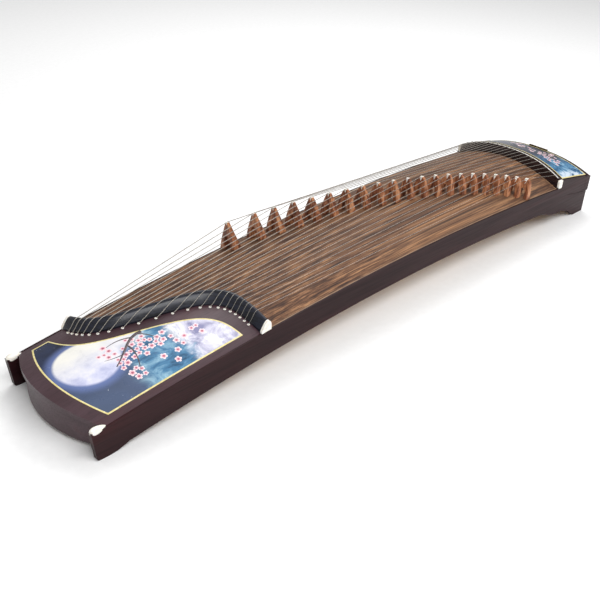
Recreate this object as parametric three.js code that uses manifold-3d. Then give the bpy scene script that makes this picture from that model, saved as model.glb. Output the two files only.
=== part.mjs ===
// Guzheng with 21 strings, in millimetres, +Z up.
// +X runs along the strings from the tail to the head, and the player sits on the -Y side.
// The origin is on the floor, under the middle of the instrument.
import * as THREE from 'three';
import { mergeVertices } from 'three/addons/utils/BufferGeometryUtils.js';
import Module from 'manifold-3d';

const wasm = await Module();
wasm.setup();

// Body: the two long edges are gentle arches, and the top is crowned across them.
const TAIL_X = -785;
const HEAD_X = 802;
const BODY_LENGTH = HEAD_X - TAIL_X;
const TAIL_WIDTH = 295;
const HEAD_WIDTH = 341;
const TAIL_EDGE_Z = 65;
const HEAD_EDGE_Z = 99.5;
const EDGE_ARCH = 43.5;
const TAIL_BOTTOM_Z = 4;
const HEAD_BOTTOM_Z = 33.5;
const BOTTOM_ARCH = 50;
const BOTTOM_ARCH_X = [-740, 585];
const TAIL_CROWN = 21;
const HEAD_CROWN = 39;
const GAP = 0.3;
const MIDDLE_SHIFT = 5.5;
const LONG_STEPS = 22;
const CROSS_STEPS = 14;
const CUT_REACH = 60;
const CUT_TOP_Z = 200;

// Boards.
const SIDE_THICKNESS = 11;
const LIP = 4;
const SOUNDBOARD_THICKNESS = 8;
const PLATE_THICKNESS = 10;
const BOTTOM_THICKNESS = 7;
const BOTTOM_RECESS = 4;
const END_BOARD_THICKNESS = 12;
const END_BOARD_SETBACK = 3;
const END_BOARD_FOOT_Z = 9;
const TAIL_BULGE = 41;
const EAR_END_X = -815;
const EAR_CORNER = 7;
const EAR_FOOT_X = [-801, -783];
const EAR_HEEL_X = -766;

// Inside: sound holes through the bottom board, ribs across the body and a bass bar along it.
const SOUND_HOLES = [
  { x: -560, halfLength: 70, halfWidth: 30 },
  { x: 480, halfLength: 70, halfWidth: 36 },
];
const RIB_X = [-330, 50, 380];
const RIB_HALF_THICKNESS = 6;
const RIB_CLEARANCE = 2;
const RIB_WINDOW = { radius: 18, y: 76, z: 36, stretch: 2 };
const BASS_BAR = { half: 9, height: 24 };

// Tail plate: an S-shaped nut, the string holes along its foot, and a picture panel let in.
const S_MIDDLE_X = -564;
const S_REACH = 131.5;
const S_MIDDLE_Y = 13.6;
const S_SOFTNESS = 47.5;
const TAIL_NUT_WIDTH = 24;
const TAIL_NUT_HEIGHT = 22;
const TAIL_NUT_FEET = [4, 9];
const TAIL_NUT_PEAK = 0.68;
const TAIL_NUT_START = 5;
const SEAM_OFFSET = TAIL_NUT_START + TAIL_NUT_WIDTH / 2;
const PANEL_THICKNESS = 1.6;
const PANEL_MARGIN_END = 27.5;
const PANEL_MARGIN_SIDE = 21;
const PANEL_S_X = -597;
const PANEL_S_REACH = 138;
const PANEL_S_SOFTNESS = 54.5;

// Head: the straight nut, the tuning box behind it, and the lid over the box.
const HEAD_NUT_X = [641, 660];
const HEAD_NUT_ABOVE_LID = 0.5;
const HEAD_NUT_BEVEL = 5;
const LID_X = [664, 802];
const LID_THICKNESS = 6;
const LID_EDGE_RAISE = [22, 7.5];
const LID_CROWN = [39.5, 28];
const LID_CROWN_POWER = 2.4;
const LID_SEAT_GAP = 1.2;
const LID_SIDE_GAP = 0.4;
const LID_PANEL_MARGIN = 4;
const LID_FLARE = 0.008;
const HEAD_BLOCK_X = [792, 815];
const HEAD_BLOCK_Z = 63;
const HEAD_LOWER_X = [795, 806];
const BOX_X = [650, 790];
const BOX_HALF = 156;
const BOX_FLOOR_Z = [62, 84];
const BOX_WALL = 7;
const FOOT_X = [760, 808];
const FOOT_HEIGHT = 34;
const FOOT_TOE = [14, 8];
const FOOT_CURVE = [[715, 26], [735, 20]];
const SHOULDER_X = [640, 662, 684];
const SHOULDER_DIP = 2;
const SHOULDER_START = [615, 42];
const HEAD_ARCH_SILL_Z = 2;
const HEAD_ARCH_RISE = 34;
const HEAD_ARCH_STEEPNESS = 3;

// Strings, bridges and tuning pins.
const STRING_COUNT = 21;
const TAIL_STRING_Y = 119.4;
const HEAD_STRING_Y = 148;
const STRING_RADIUS = 0.6;
const STRING_SIDES = 5;
const STRING_CLEARANCE = 0.6;
const HOLE_RADIUS = 2.4;
const ANCHOR_SIZE = 4;
const BRIDGE_FIRST_X = -259;
const BRIDGE_STEP = 51.6;
const BRIDGE_STEP_LOSS = 0.67;
const BASS_BRIDGE_SETBACK = 17.5;
const BRIDGE_HEIGHT = [68, 45];
const BRIDGE_HEIGHT_EASE = 2;
const BRIDGE_HALF_WIDTH = [25, 17];
const BRIDGE_THICKNESS = [20, 18];
const BRIDGE_TOP_SHARE = 0.36;
const BRIDGE_BASE_OFFSET = [10, -6];
const BRIDGE_ARCH_WIDTH = 0.44;
const BRIDGE_ARCH_HEIGHT = 0.48;
const BRIDGE_SHOULDER_WIDTH = [0.52, 0.84];
const BRIDGE_SHOULDER_HEIGHT = [0.6, 0.7];
const BRIDGE_TIP_HALF = [3, 4.5];
const PIN_ROWS_X = [702, 738];
const PIN_RADIUS = 2.6;
const PIN_BOTTOM_Z = 66;
const PIN_TOP_Z = [112, 106];
const PIN_STRING_Z = 98;
const PIN_SPREAD = 0.97;
const PIN_SQUARE = { radius: 2.08, height: 8, taper: 1 };

// Lid hinge: a butt hinge whose barrel stands just above the joint line.
const HINGE_X = 803.5;
const HINGE_RADIUS = 2.2;
const HINGE_PIN_RADIUS = 1;
const HINGE_KNUCKLE = 20;
const HINGE_LEAF = 0.9;
const HINGE_LEAF_DEPTH = 4.5;

const mix = (a, b, t) => a + (b - a) * t;
const along = (x) => (x - TAIL_X) / BODY_LENGTH;
const arch = (t) => 4 * t * (1 - t);

const edgeZ = (x) => mix(TAIL_EDGE_Z, HEAD_EDGE_Z, along(x)) + EDGE_ARCH * arch(along(x));
const bottomZ = (x) => mix(TAIL_BOTTOM_Z, HEAD_BOTTOM_Z, along(x)) + BOTTOM_ARCH * arch(along(x));
const halfWidth = (x) => mix(TAIL_WIDTH, HEAD_WIDTH, along(x)) / 2;
const innerHalf = (x) => halfWidth(x) - SIDE_THICKNESS - GAP;
const topHalf = (x) => halfWidth(x) - LIP - GAP;

// Height of the crowned top, which lies inside the side boards' lips and level with them there.
function topZ(x, y) {
  const across = Math.min(1, Math.abs(y) / topHalf(x));
  return edgeZ(x) + mix(TAIL_CROWN, HEAD_CROWN, along(x)) * (1 - across * across);
}

// The lid and the head block stand above the side boards' edges, most of all at the nut.
const alongHead = (x) => (x - LID_X[0]) / (HEAD_BLOCK_X[1] - LID_X[0]);
const headEdgeZ = (x) => edgeZ(x) + mix(...LID_EDGE_RAISE, alongHead(x));

function lidZ(x, y) {
  const across = Math.min(1, Math.abs(y) / (halfWidth(x) - LIP));
  return headEdgeZ(x) + mix(...LID_CROWN, alongHead(x)) * (1 - across ** LID_CROWN_POWER);
}

// The S-shaped line of string holes, and lines parallel to it on its head side.
function sLine(y, offset = 0) {
  const bend = (y - S_MIDDLE_Y - 0.7 * offset) / S_SOFTNESS;
  return S_MIDDLE_X + offset - S_REACH * Math.tanh(bend);
}

// Spreads t over the full width in steps, the first and the last of them over the lips.
function fullWidthY(half, t, steps) {
  const inner = half - LIP - GAP;
  const place = t * steps;
  if (place < 1) return mix(-half, -inner, place);
  if (place > steps - 1) return mix(inner, half, place - steps + 1);
  return mix(-inner, inner, (place - 1) / (steps - 2));
}

const tailEdgeX = (across) => TAIL_X - TAIL_BULGE * (1 - across * across);

// ---- geometry helpers ----

// A box whose unit coordinates (s, t, w) are carried to the point that place returns.
function warpedBox(steps, place) {
  const geometry = new THREE.BoxGeometry(1, 1, 1, steps[0], steps[1], steps[2]);
  const position = geometry.attributes.position;
  for (let i = 0; i < position.count; i += 1) {
    const s = position.getX(i) + 0.5;
    const t = position.getY(i) + 0.5;
    const w = position.getZ(i) + 0.5;
    position.setXYZ(i, ...place(s, t, w));
  }
  return closed(geometry);
}

// Keeps positions only and shares the vertices, so that the surface is closed.
function closed(geometry) {
  geometry.deleteAttribute('normal');
  geometry.deleteAttribute('uv');
  return mergeVertices(geometry, 1e-4);
}

function toSolid(geometry) {
  const merged = closed(geometry);
  const vertProperties = new Float32Array(merged.attributes.position.array);
  const triVerts = new Uint32Array(merged.index.array);
  return new wasm.Manifold(new wasm.Mesh({ numProp: 3, vertProperties, triVerts }));
}

function toGeometry(solid) {
  const { vertProperties, triVerts } = solid.getMesh();
  const geometry = new THREE.BufferGeometry();
  geometry.setAttribute('position', new THREE.BufferAttribute(new Float32Array(vertProperties), 3));
  geometry.setIndex(new THREE.BufferAttribute(new Uint32Array(triVerts), 1));
  return geometry;
}

function boxBetween(low, high) {
  const size = high.map((value, axis) => value - low[axis]);
  const geometry = new THREE.BoxGeometry(...size);
  geometry.translate(...low.map((value, axis) => value + size[axis] / 2));
  return geometry;
}

function uprightCylinder(radius, sides, x, y, low, high) {
  const geometry = new THREE.CylinderGeometry(radius, radius, high - low, sides);
  geometry.rotateX(Math.PI / 2);
  geometry.translate(x, y, (low + high) / 2);
  return geometry;
}

// Extrudes a plan outline straight up from low to high.
function planPrism(points, low, high) {
  const shape = new THREE.Shape(points.map(([x, y]) => new THREE.Vector2(x, y)));
  const geometry = new THREE.ExtrudeGeometry(shape, { depth: high - low, bevelEnabled: false });
  geometry.translate(0, 0, low);
  return geometry;
}

// Extrudes an outline drawn in X and Z through a thickness in Y, centred on y = 0.
function sidePrism(shape, thickness, curveSegments = 8) {
  const options = { depth: thickness, bevelEnabled: false, curveSegments };
  const geometry = new THREE.ExtrudeGeometry(shape, options);
  geometry.rotateX(Math.PI / 2);
  geometry.translate(0, thickness / 2, 0);
  return geometry;
}

// A route through given points, one step of a tube for each.
class PointRoute extends THREE.Curve {
  constructor(points) {
    super();
    this.points = points.map((point) => new THREE.Vector3(...point));
  }

  getPoint(u) {
    return this.points[Math.round(u * (this.points.length - 1))].clone();
  }

  getPointAt(u) {
    return this.getPoint(u);
  }

  getTangentAt(u) {
    const last = this.points.length - 1;
    const here = Math.round(u * last);
    const before = this.points[Math.max(0, here - 1)];
    const after = this.points[Math.min(last, here + 1)];
    return after.clone().sub(before).normalize();
  }
}

function tubeThrough(points, radius, sides) {
  const corners = [];
  for (let i = 0; i < sides; i += 1) {
    const angle = (2 * Math.PI * i) / sides;
    corners.push(new THREE.Vector2(radius * Math.cos(angle), radius * Math.sin(angle)));
  }
  const options = { steps: points.length - 1, extrudePath: new PointRoute(points) };
  return new THREE.ExtrudeGeometry(new THREE.Shape(corners), { bevelEnabled: false, ...options });
}

const guzheng = new THREE.Group();

function addPiece(name, geometry, look, parent = guzheng) {
  const material = new THREE.MeshStandardMaterial(look);
  const mesh = new THREE.Mesh(geometry, material);
  mesh.name = name;
  parent.add(mesh);
  return mesh;
}

const DARK_WOOD = { color: 0x3b2a2d, roughness: 0.4, metalness: 0 };
const BLACK_WOOD = { color: 0x1b1c24, roughness: 0.25, metalness: 0 };
const BURNT_WOOD = { color: 0x7a5a3c, roughness: 0.55, metalness: 0 };
const PLAIN_WOOD = { color: 0xc9a878, roughness: 0.7, metalness: 0 };
const RED_WOOD = { color: 0xa5683f, roughness: 0.5, metalness: 0 };
const PICTURE = { color: 0x7f9bb8, roughness: 0.3, metalness: 0 };
const STEEL = { color: 0xb9b9bd, roughness: 0.3, metalness: 1 };
const DARK_BRASS = { color: 0x4d4234, roughness: 0.4, metalness: 1 };

// ---- side boards ----

// Outline in X and Z: ear at the tail, long arch, foot at the head, and the raised lid seat.
function sideOutline() {
  const shape = new THREE.Shape();
  shape.moveTo(EAR_END_X, edgeZ(TAIL_X));
  shape.lineTo(EAR_END_X + EAR_CORNER, EAR_CORNER);
  shape.quadraticCurveTo(EAR_END_X + EAR_CORNER, 0, EAR_FOOT_X[0], 0);
  shape.lineTo(EAR_FOOT_X[1], 0);
  shape.quadraticCurveTo(EAR_HEEL_X, 0, BOTTOM_ARCH_X[0], bottomZ(BOTTOM_ARCH_X[0]));
  for (let i = 1; i <= LONG_STEPS; i += 1) {
    const x = mix(...BOTTOM_ARCH_X, i / LONG_STEPS);
    shape.lineTo(x, bottomZ(x));
  }
  shape.quadraticCurveTo(...SHOULDER_START, SHOULDER_X[0], FOOT_HEIGHT + SHOULDER_DIP);
  shape.quadraticCurveTo(SHOULDER_X[1], FOOT_HEIGHT - SHOULDER_DIP, SHOULDER_X[2], FOOT_HEIGHT);
  shape.bezierCurveTo(...FOOT_CURVE.flat(), FOOT_X[0] - FOOT_TOE[0], FOOT_TOE[1]);
  shape.lineTo(FOOT_X[0], 0);
  shape.lineTo(FOOT_X[1], 0);
  shape.lineTo(FOOT_X[1], HEAD_BLOCK_Z - GAP);
  const blockFace = HEAD_BLOCK_X[0] - GAP;
  shape.lineTo(blockFace, HEAD_BLOCK_Z - GAP);
  const seatStart = HEAD_NUT_X[1] + GAP;
  const seatMiddle = mix(seatStart, blockFace, 0.5);
  for (const x of [blockFace, seatMiddle, seatStart]) {
    shape.lineTo(x, headEdgeZ(x));
  }
  shape.lineTo(seatStart, edgeZ(seatStart));
  for (let i = 1; i <= LONG_STEPS; i += 1) {
    const x = mix(seatStart, TAIL_X, i / LONG_STEPS);
    shape.lineTo(x, edgeZ(x));
  }
  return shape;
}

// side is -1 for the player's board and +1 for the far one.
function addSideBoard(name, side) {
  const flare = Math.atan((HEAD_WIDTH - TAIL_WIDTH) / 2 / BODY_LENGTH);
  const geometry = sidePrism(sideOutline(), SIDE_THICKNESS);
  geometry.translate(-TAIL_X, 0, 0);
  geometry.rotateZ(side * flare);
  geometry.translate(TAIL_X, side * (TAIL_WIDTH / 2 - SIDE_THICKNESS / 2), 0);
  const tailX = tailEdgeX(innerHalf(TAIL_X) / topHalf(TAIL_X)) - GAP;
  const seam = seamX(side);
  const board = toSolid(geometry)
    .subtract(toSolid(lidSeat(HEAD_NUT_X[1], HEAD_BLOCK_X[0])))
    .subtract(toSolid(topRebate(side, tailX, seam + 1, PLATE_THICKNESS)))
    .subtract(toSolid(topRebate(side, seam - 1, BOX_X[0], SOUNDBOARD_THICKNESS)));
  addPiece(name, toGeometry(board), DARK_WOOD);
}

// The rebate inside a side board's lip that a top board of some thickness rests in.
function topRebate(side, from, to, thickness) {
  return warpedBox([12, 2, 1], (s, t, w) => {
    const x = mix(from, to, s);
    const outward = side > 0 ? t : 1 - t;
    const y = side * mix(innerHalf(x) - GAP, halfWidth(x) - LIP, outward);
    return [x, y, topZ(x, y) - thickness - GAP + w * CUT_REACH];
  });
}

// The rebate that the lid lies in, inside the side boards' and the head block's lips.
function lidSeat(from, to) {
  return warpedBox([3, CROSS_STEPS, 1], (s, t, w) => {
    const x = mix(from, to, s);
    const y = mix(-1, 1, t) * (halfWidth(x) - LIP);
    return [x, y, lidZ(x, y) - LID_THICKNESS - LID_SEAT_GAP + w * CUT_REACH];
  });
}

// ---- top and bottom ----

// The seam between tail plate and soundboard follows the S and is hidden under the nut.
function seamX(across) {
  return sLine(across * topHalf(S_MIDDLE_X), SEAM_OFFSET);
}

function addSoundboard() {
  const end = BOX_X[0] - GAP;
  const place = (s, t, w) => {
    const across = 2 * t - 1;
    const x = mix(seamX(across) + 0.5, end, s);
    const y = across * topHalf(x);
    return [x, y, topZ(x, y) - (1 - w) * SOUNDBOARD_THICKNESS];
  };
  addPiece('soundboard', warpedBox([LONG_STEPS, CROSS_STEPS, 1], place), BURNT_WOOD);
}

// A layer of the tail plate between two depths below its crowned surface.
function plateLayer(high, low) {
  return warpedBox([8, CROSS_STEPS, 1], (s, t, w) => {
    const across = 2 * t - 1;
    const x = mix(tailEdgeX(across), seamX(across) - 0.5, s);
    const y = across * topHalf(x);
    return [x, y, topZ(x, y) - mix(low, high, w)];
  });
}

// Plan of the picture panel: a convex end, two long sides and an S side along the nut.
function panelPlan(grow) {
  const points = [];
  const steps = 12;
  const half = (x) => halfWidth(x) - PANEL_MARGIN_SIDE + grow;
  const cornerHalf = half(TAIL_X);
  for (let i = 0; i <= steps; i += 1) {
    const across = mix(1, -1, i / steps);
    const y = across * cornerHalf;
    const edge = tailEdgeX(y / topHalf(TAIL_X));
    points.push([edge + PANEL_MARGIN_END - grow, y]);
  }
  const nearX = PANEL_S_X + PANEL_S_REACH;
  for (let i = 0; i <= 2 * steps; i += 1) {
    const y = mix(-half(nearX), half(TAIL_X), i / (2 * steps));
    points.push([PANEL_S_X - PANEL_S_REACH * Math.tanh(y / PANEL_S_SOFTNESS) + grow, y]);
  }
  return points;
}

function holePlaces() {
  return stringLines().map((line) => [line.holeX, line.tailY]);
}

function addTailPlate() {
  const recess = toSolid(plateLayer(-6, PANEL_THICKNESS + GAP))
    .intersect(toSolid(planPrism(panelPlan(GAP), 0, CUT_TOP_Z)));
  let plate = toSolid(plateLayer(0, PLATE_THICKNESS)).subtract(recess);
  for (const [x, y] of holePlaces()) {
    plate = plate.subtract(toSolid(uprightCylinder(HOLE_RADIUS, 6, x, y, 0, CUT_TOP_Z)));
  }
  addPiece('tail_plate', toGeometry(plate), DARK_WOOD);
  const panel = toSolid(plateLayer(0, PANEL_THICKNESS))
    .intersect(toSolid(planPrism(panelPlan(0), 0, CUT_TOP_Z)));
  addPiece('tail_picture_panel', toGeometry(panel), PICTURE);
}

function addTailEndBoard() {
  const place = (s, t, w) => {
    const across = 2 * t - 1;
    const x = tailEdgeX(across) + END_BOARD_SETBACK + s * END_BOARD_THICKNESS;
    const y = across * innerHalf(x);
    return [x, y, mix(END_BOARD_FOOT_Z, topZ(x, y) - PLATE_THICKNESS - GAP, w)];
  };
  addPiece('tail_end_board', warpedBox([1, CROSS_STEPS, 1], place), DARK_WOOD);
}

// Height of the nut above the board, s running across it from the tail side to the head side:
// a long slope that the strings climb, a rounded ridge, and a steep back.
function tailNutHeight(s) {
  const [front, back] = TAIL_NUT_FEET;
  if (s < TAIL_NUT_PEAK) {
    return mix(front, TAIL_NUT_HEIGHT, Math.sin((Math.PI / 2) * (s / TAIL_NUT_PEAK)));
  }
  const fall = (s - TAIL_NUT_PEAK) / (1 - TAIL_NUT_PEAK);
  return mix(back, TAIL_NUT_HEIGHT, Math.sqrt(Math.max(0, 1 - fall * fall)));
}

function addTailNut() {
  const nearHalf = halfWidth(S_MIDDLE_X + S_REACH);
  const farHalf = halfWidth(S_MIDDLE_X - S_REACH);
  const steps = 28;
  const place = (s, t, w) => {
    const y = fullWidthY(t < 0.5 ? nearHalf : farHalf, t, steps);
    const x = sLine(y, TAIL_NUT_START + s * TAIL_NUT_WIDTH);
    return [x, y, topZ(x, y) + GAP + w * tailNutHeight(s)];
  };
  addPiece('tail_nut', warpedBox([6, steps, 1], place), BLACK_WOOD);
}

function addBottomBoard() {
  const high = BOTTOM_RECESS + BOTTOM_THICKNESS;
  const place = (s, t, w) => {
    const across = 2 * t - 1;
    const start = tailEdgeX(across) + END_BOARD_SETBACK + END_BOARD_THICKNESS + GAP;
    const x = mix(start, HEAD_LOWER_X[0] - GAP, s);
    return [x, across * innerHalf(x), bottomZ(x) + mix(BOTTOM_RECESS, high, w)];
  };
  let board = toSolid(warpedBox([LONG_STEPS, 8, 1], place));
  for (const hole of SOUND_HOLES) {
    const cutter = new THREE.CylinderGeometry(1, 1, CUT_TOP_Z, 20);
    cutter.rotateX(Math.PI / 2);
    cutter.scale(hole.halfLength, hole.halfWidth, 1);
    cutter.translate(hole.x, 0, 0);
    board = board.subtract(toSolid(cutter));
  }
  addPiece('bottom_board', toGeometry(board), PLAIN_WOOD);
}

// Three arched ribs and the long bass bar that joins them, glued inside the body.
function addInnerBraces() {
  const floor = (x) => bottomZ(x) + BOTTOM_RECESS + BOTTOM_THICKNESS + GAP;
  const ceiling = (x, y) => topZ(x, y) - SOUNDBOARD_THICKNESS - 2 * GAP;
  const bar = warpedBox([8, 1, 1], (s, t, w) => {
    const x = mix(RIB_X[0], RIB_X[2], s);
    return [x, mix(-BASS_BAR.half, BASS_BAR.half, t), floor(x) + BASS_BAR.height * w];
  });
  let braces = toSolid(bar);
  for (const rib of RIB_X) {
    const slab = warpedBox([1, 8, 1], (s, t, w) => {
      const x = rib + mix(-RIB_HALF_THICKNESS, RIB_HALF_THICKNESS, s);
      const y = mix(-1, 1, t) * (innerHalf(x) - RIB_CLEARANCE);
      return [x, y, mix(floor(x), ceiling(x, y), w)];
    });
    braces = braces.add(toSolid(slab));
    for (const side of [-1, 1]) {
      const length = 6 * RIB_HALF_THICKNESS;
      const window = new THREE.CylinderGeometry(RIB_WINDOW.radius, RIB_WINDOW.radius, length, 12);
      window.rotateZ(Math.PI / 2);
      window.scale(1, RIB_WINDOW.stretch, 1);
      window.translate(rib, side * RIB_WINDOW.y, floor(rib) + RIB_WINDOW.z);
      braces = braces.subtract(toSolid(window));
    }
  }
  addPiece('inner_braces', toGeometry(braces), PLAIN_WOOD);
}

// ---- head ----

const headNutZ = (y) => lidZ(HEAD_NUT_X[1], y) + HEAD_NUT_ABOVE_LID;

function addHeadNut() {
  const place = (s, t, w) => {
    const x = mix(HEAD_NUT_X[0], HEAD_NUT_X[1], s);
    const y = fullWidthY(halfWidth(x), t, CROSS_STEPS);
    const bevel = s === 0 ? HEAD_NUT_BEVEL : 0;
    return [x, y, mix(topZ(x, y) + GAP, headNutZ(y) - bevel, w)];
  };
  addPiece('head_nut', warpedBox([3, CROSS_STEPS, 1], place), BLACK_WOOD);
}

// The tuning box: a wall under the nut, three walls under the lid, and a thick floor for the pins.
function addTuningBox() {
  const wallTop = (x, y) => lidZ(x, y) - LID_THICKNESS - LID_SEAT_GAP;
  const nutWall = warpedBox([1, 12, 1], (s, t, w) => {
    const x = mix(BOX_X[0], HEAD_NUT_X[1], s);
    const y = mix(-BOX_HALF, BOX_HALF, t);
    return [x, y, mix(BOX_FLOOR_Z[0], topZ(x, y) - GAP, w)];
  });
  const block = warpedBox([2, 12, 1], (s, t, w) => {
    const x = mix(HEAD_NUT_X[1] - 1, BOX_X[1], s);
    const y = mix(-BOX_HALF, BOX_HALF, t);
    return [x, y, mix(BOX_FLOOR_Z[0], wallTop(Math.max(x, LID_X[0]), y), w)];
  });
  const hollowHalf = BOX_HALF - BOX_WALL;
  const frontX = HEAD_NUT_X[1] - 2;
  const hollow = boxBetween(
    [frontX, -hollowHalf, BOX_FLOOR_Z[1]],
    [BOX_X[1] - BOX_WALL, hollowHalf, CUT_TOP_Z],
  );
  const frontCut = boxBetween(
    [frontX, -BOX_HALF - 1, BOX_FLOOR_Z[1]],
    [LID_X[0], BOX_HALF + 1, CUT_TOP_Z],
  );
  let box = toSolid(block)
    .subtract(toSolid(hollow))
    .subtract(toSolid(frontCut))
    .add(toSolid(nutWall));
  stringLines().forEach((line) => {
    const ends = [PIN_BOTTOM_Z - GAP, BOX_FLOOR_Z[1] + 1];
    const bore = uprightCylinder(PIN_RADIUS + GAP, 8, line.pinX, line.pinY, ...ends);
    box = box.subtract(toSolid(bore));
  });
  addPiece('tuning_box', toGeometry(box), PLAIN_WOOD);
}

function addHeadBlock() {
  const place = (s, t, w) => {
    const x = mix(HEAD_BLOCK_X[0], HEAD_BLOCK_X[1], s);
    const y = fullWidthY(halfWidth(x), t, CROSS_STEPS);
    return [x, y, mix(HEAD_BLOCK_Z, lidZ(x, y), w)];
  };
  const seat = lidSeat(HEAD_BLOCK_X[0] - 1, HINGE_X + (HINGE_X - LID_X[1]));
  const block = toSolid(warpedBox([2, CROSS_STEPS, 1], place)).subtract(toSolid(seat));
  addPiece('head_block', toGeometry(block), DARK_WOOD);
}

// Lower head board: its bottom edge rises in a shallow arch between the two feet.
function addHeadLowerBoard() {
  const place = (s, t, w) => {
    const x = mix(HEAD_LOWER_X[0], HEAD_LOWER_X[1], s);
    const across = 2 * t - 1;
    const rise = HEAD_ARCH_RISE * Math.min(1, HEAD_ARCH_STEEPNESS * (1 - Math.abs(across)));
    return [x, across * innerHalf(x), mix(HEAD_ARCH_SILL_Z + rise, HEAD_BLOCK_Z - GAP, w)];
  };
  addPiece('head_lower_board', warpedBox([1, 12, 1], place), DARK_WOOD);
}

// The lid widens less than the body, so that its back corners stay clear as it swings.
function lidHalf(x) {
  return halfWidth(LID_X[0]) - LIP - LID_SIDE_GAP + LID_FLARE * (x - LID_X[0]);
}

// A layer of the lid between two depths below its surface, inset by a margin all round.
function lidLayer(high, low, margin = 0) {
  return warpedBox([3, CROSS_STEPS, 1], (s, t, w) => {
    const x = mix(LID_X[0] + margin, LID_X[1] - margin, s);
    const y = mix(-1, 1, t) * (lidHalf(x) - margin);
    return [x, y, lidZ(x, y) - mix(low, high, w)];
  });
}

function addLid() {
  const recess = toSolid(lidLayer(-4, PANEL_THICKNESS + GAP, LID_PANEL_MARGIN - GAP));
  const lid = toSolid(lidLayer(0, LID_THICKNESS)).subtract(recess);
  addPiece('lid', toGeometry(lid), DARK_WOOD);
  const panel = lidLayer(0, PANEL_THICKNESS, LID_PANEL_MARGIN);
  addPiece('lid_picture_panel', panel, PICTURE);
}

// ---- lid hinge ----

const hingeZ = () => lidZ(HINGE_X, 0) + HINGE_RADIUS + 0.2;

function hingeCylinder(radius, sides, from, to) {
  const geometry = new THREE.CylinderGeometry(radius, radius, to - from, sides);
  geometry.translate(HINGE_X, (from + to) / 2, hingeZ());
  return geometry;
}

function hingeLeaf(lowX, halfLength, highZ) {
  const low = [lowX, -halfLength, hingeZ() - HINGE_RADIUS - HINGE_LEAF_DEPTH];
  return toSolid(boxBetween(low, [lowX + HINGE_LEAF, halfLength, highZ]));
}

function addLidHinge() {
  const inner = HINGE_KNUCKLE / 2;
  const outer = inner + HINGE_KNUCKLE;
  const clearOfBarrel = hingeZ() - HINGE_RADIUS - 0.5;
  const movingX = LID_X[1] + GAP;
  const fixedX = 2 * HINGE_X - movingX - HINGE_LEAF;
  const cutKnuckle = hingeCylinder(HINGE_PIN_RADIUS + GAP, 10, -outer, outer);
  const moving = hingeLeaf(movingX, inner, hingeZ())
    .add(hingeLeaf(movingX, outer, clearOfBarrel))
    .add(toSolid(hingeCylinder(HINGE_RADIUS, 12, -inner, inner)))
    .subtract(toSolid(cutKnuckle));
  addPiece('hinge_moving_leaf', toGeometry(moving), DARK_BRASS);
  let fixed = hingeLeaf(fixedX, outer, clearOfBarrel)
    .add(toSolid(hingeCylinder(HINGE_PIN_RADIUS, 10, -outer, outer)));
  for (const side of [-1, 1]) {
    const ends = [side * (inner + GAP), side * outer].sort((a, b) => a - b);
    const low = [fixedX, ends[0], clearOfBarrel - 1];
    const high = [fixedX + HINGE_LEAF, ends[1], hingeZ()];
    fixed = fixed
      .add(toSolid(hingeCylinder(HINGE_RADIUS, 12, ...ends)))
      .add(toSolid(boxBetween(low, high)));
  }
  addPiece('hinge_fixed_leaf', toGeometry(fixed), DARK_BRASS);
}

// ---- strings, bridges and tuning pins ----

function pick(range, i) {
  return mix(range[0], range[1], i / (STRING_COUNT - 1));
}

function pieceName(kind, i) {
  return `${kind}_${String(i + 1).padStart(2, '0')}`;
}

// String 0 is the lowest, on the far side; string 20 is the highest, nearest the player.
function stringLines() {
  const lines = [];
  for (let i = 0; i < STRING_COUNT; i += 1) {
    const tailY = pick([TAIL_STRING_Y, -TAIL_STRING_Y], i);
    const headY = pick([HEAD_STRING_Y, -HEAD_STRING_Y], i);
    const nutX = sLine(tailY, SEAM_OFFSET);
    const setback = i === 0 ? BASS_BRIDGE_SETBACK : 0;
    const bridgeX = BRIDGE_FIRST_X + BRIDGE_STEP * i - BRIDGE_STEP_LOSS * i * i - setback;
    const bassShare = 1 - i / (STRING_COUNT - 1);
    const share = (bridgeX - nutX) / (HEAD_NUT_X[0] - nutX);
    lines.push({
      tailY,
      headY,
      nutX,
      bridgeX,
      bridgeY: mix(tailY, headY, share),
      bridgeHeight: mix(BRIDGE_HEIGHT[1], BRIDGE_HEIGHT[0], bassShare ** BRIDGE_HEIGHT_EASE),
      bridgeTip: pick(BRIDGE_THICKNESS, i) * BRIDGE_TOP_SHARE,
      holeX: sLine(tailY),
      pinX: PIN_ROWS_X[i % 2],
      pinY: headY * PIN_SPREAD,
    });
  }
  return lines;
}

// Right side of a bridge's front from its foot up to its tip, mirrored by side.
// The bass bridges are tall triangles, and the treble ones have full shoulders.
function bridgeFlank(shape, side, half, height, i) {
  const shoulder = side * half * pick(BRIDGE_SHOULDER_WIDTH, i);
  const shoulderZ = height * pick(BRIDGE_SHOULDER_HEIGHT, i);
  const tip = side * pick(BRIDGE_TIP_HALF, i);
  const hip = side * half * pick([0.86, 1], i);
  const neck = shoulder * pick([0.5, 0.9], i);
  const neckZ = height * pick([0.86, 0.94], i);
  if (side > 0) {
    shape.quadraticCurveTo(hip, shoulderZ / 2, shoulder, shoulderZ);
    shape.quadraticCurveTo(neck, neckZ, tip, height);
  } else {
    shape.quadraticCurveTo(neck, neckZ, shoulder, shoulderZ);
    shape.quadraticCurveTo(hip, shoulderZ / 2, -half, 0);
  }
}

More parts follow.
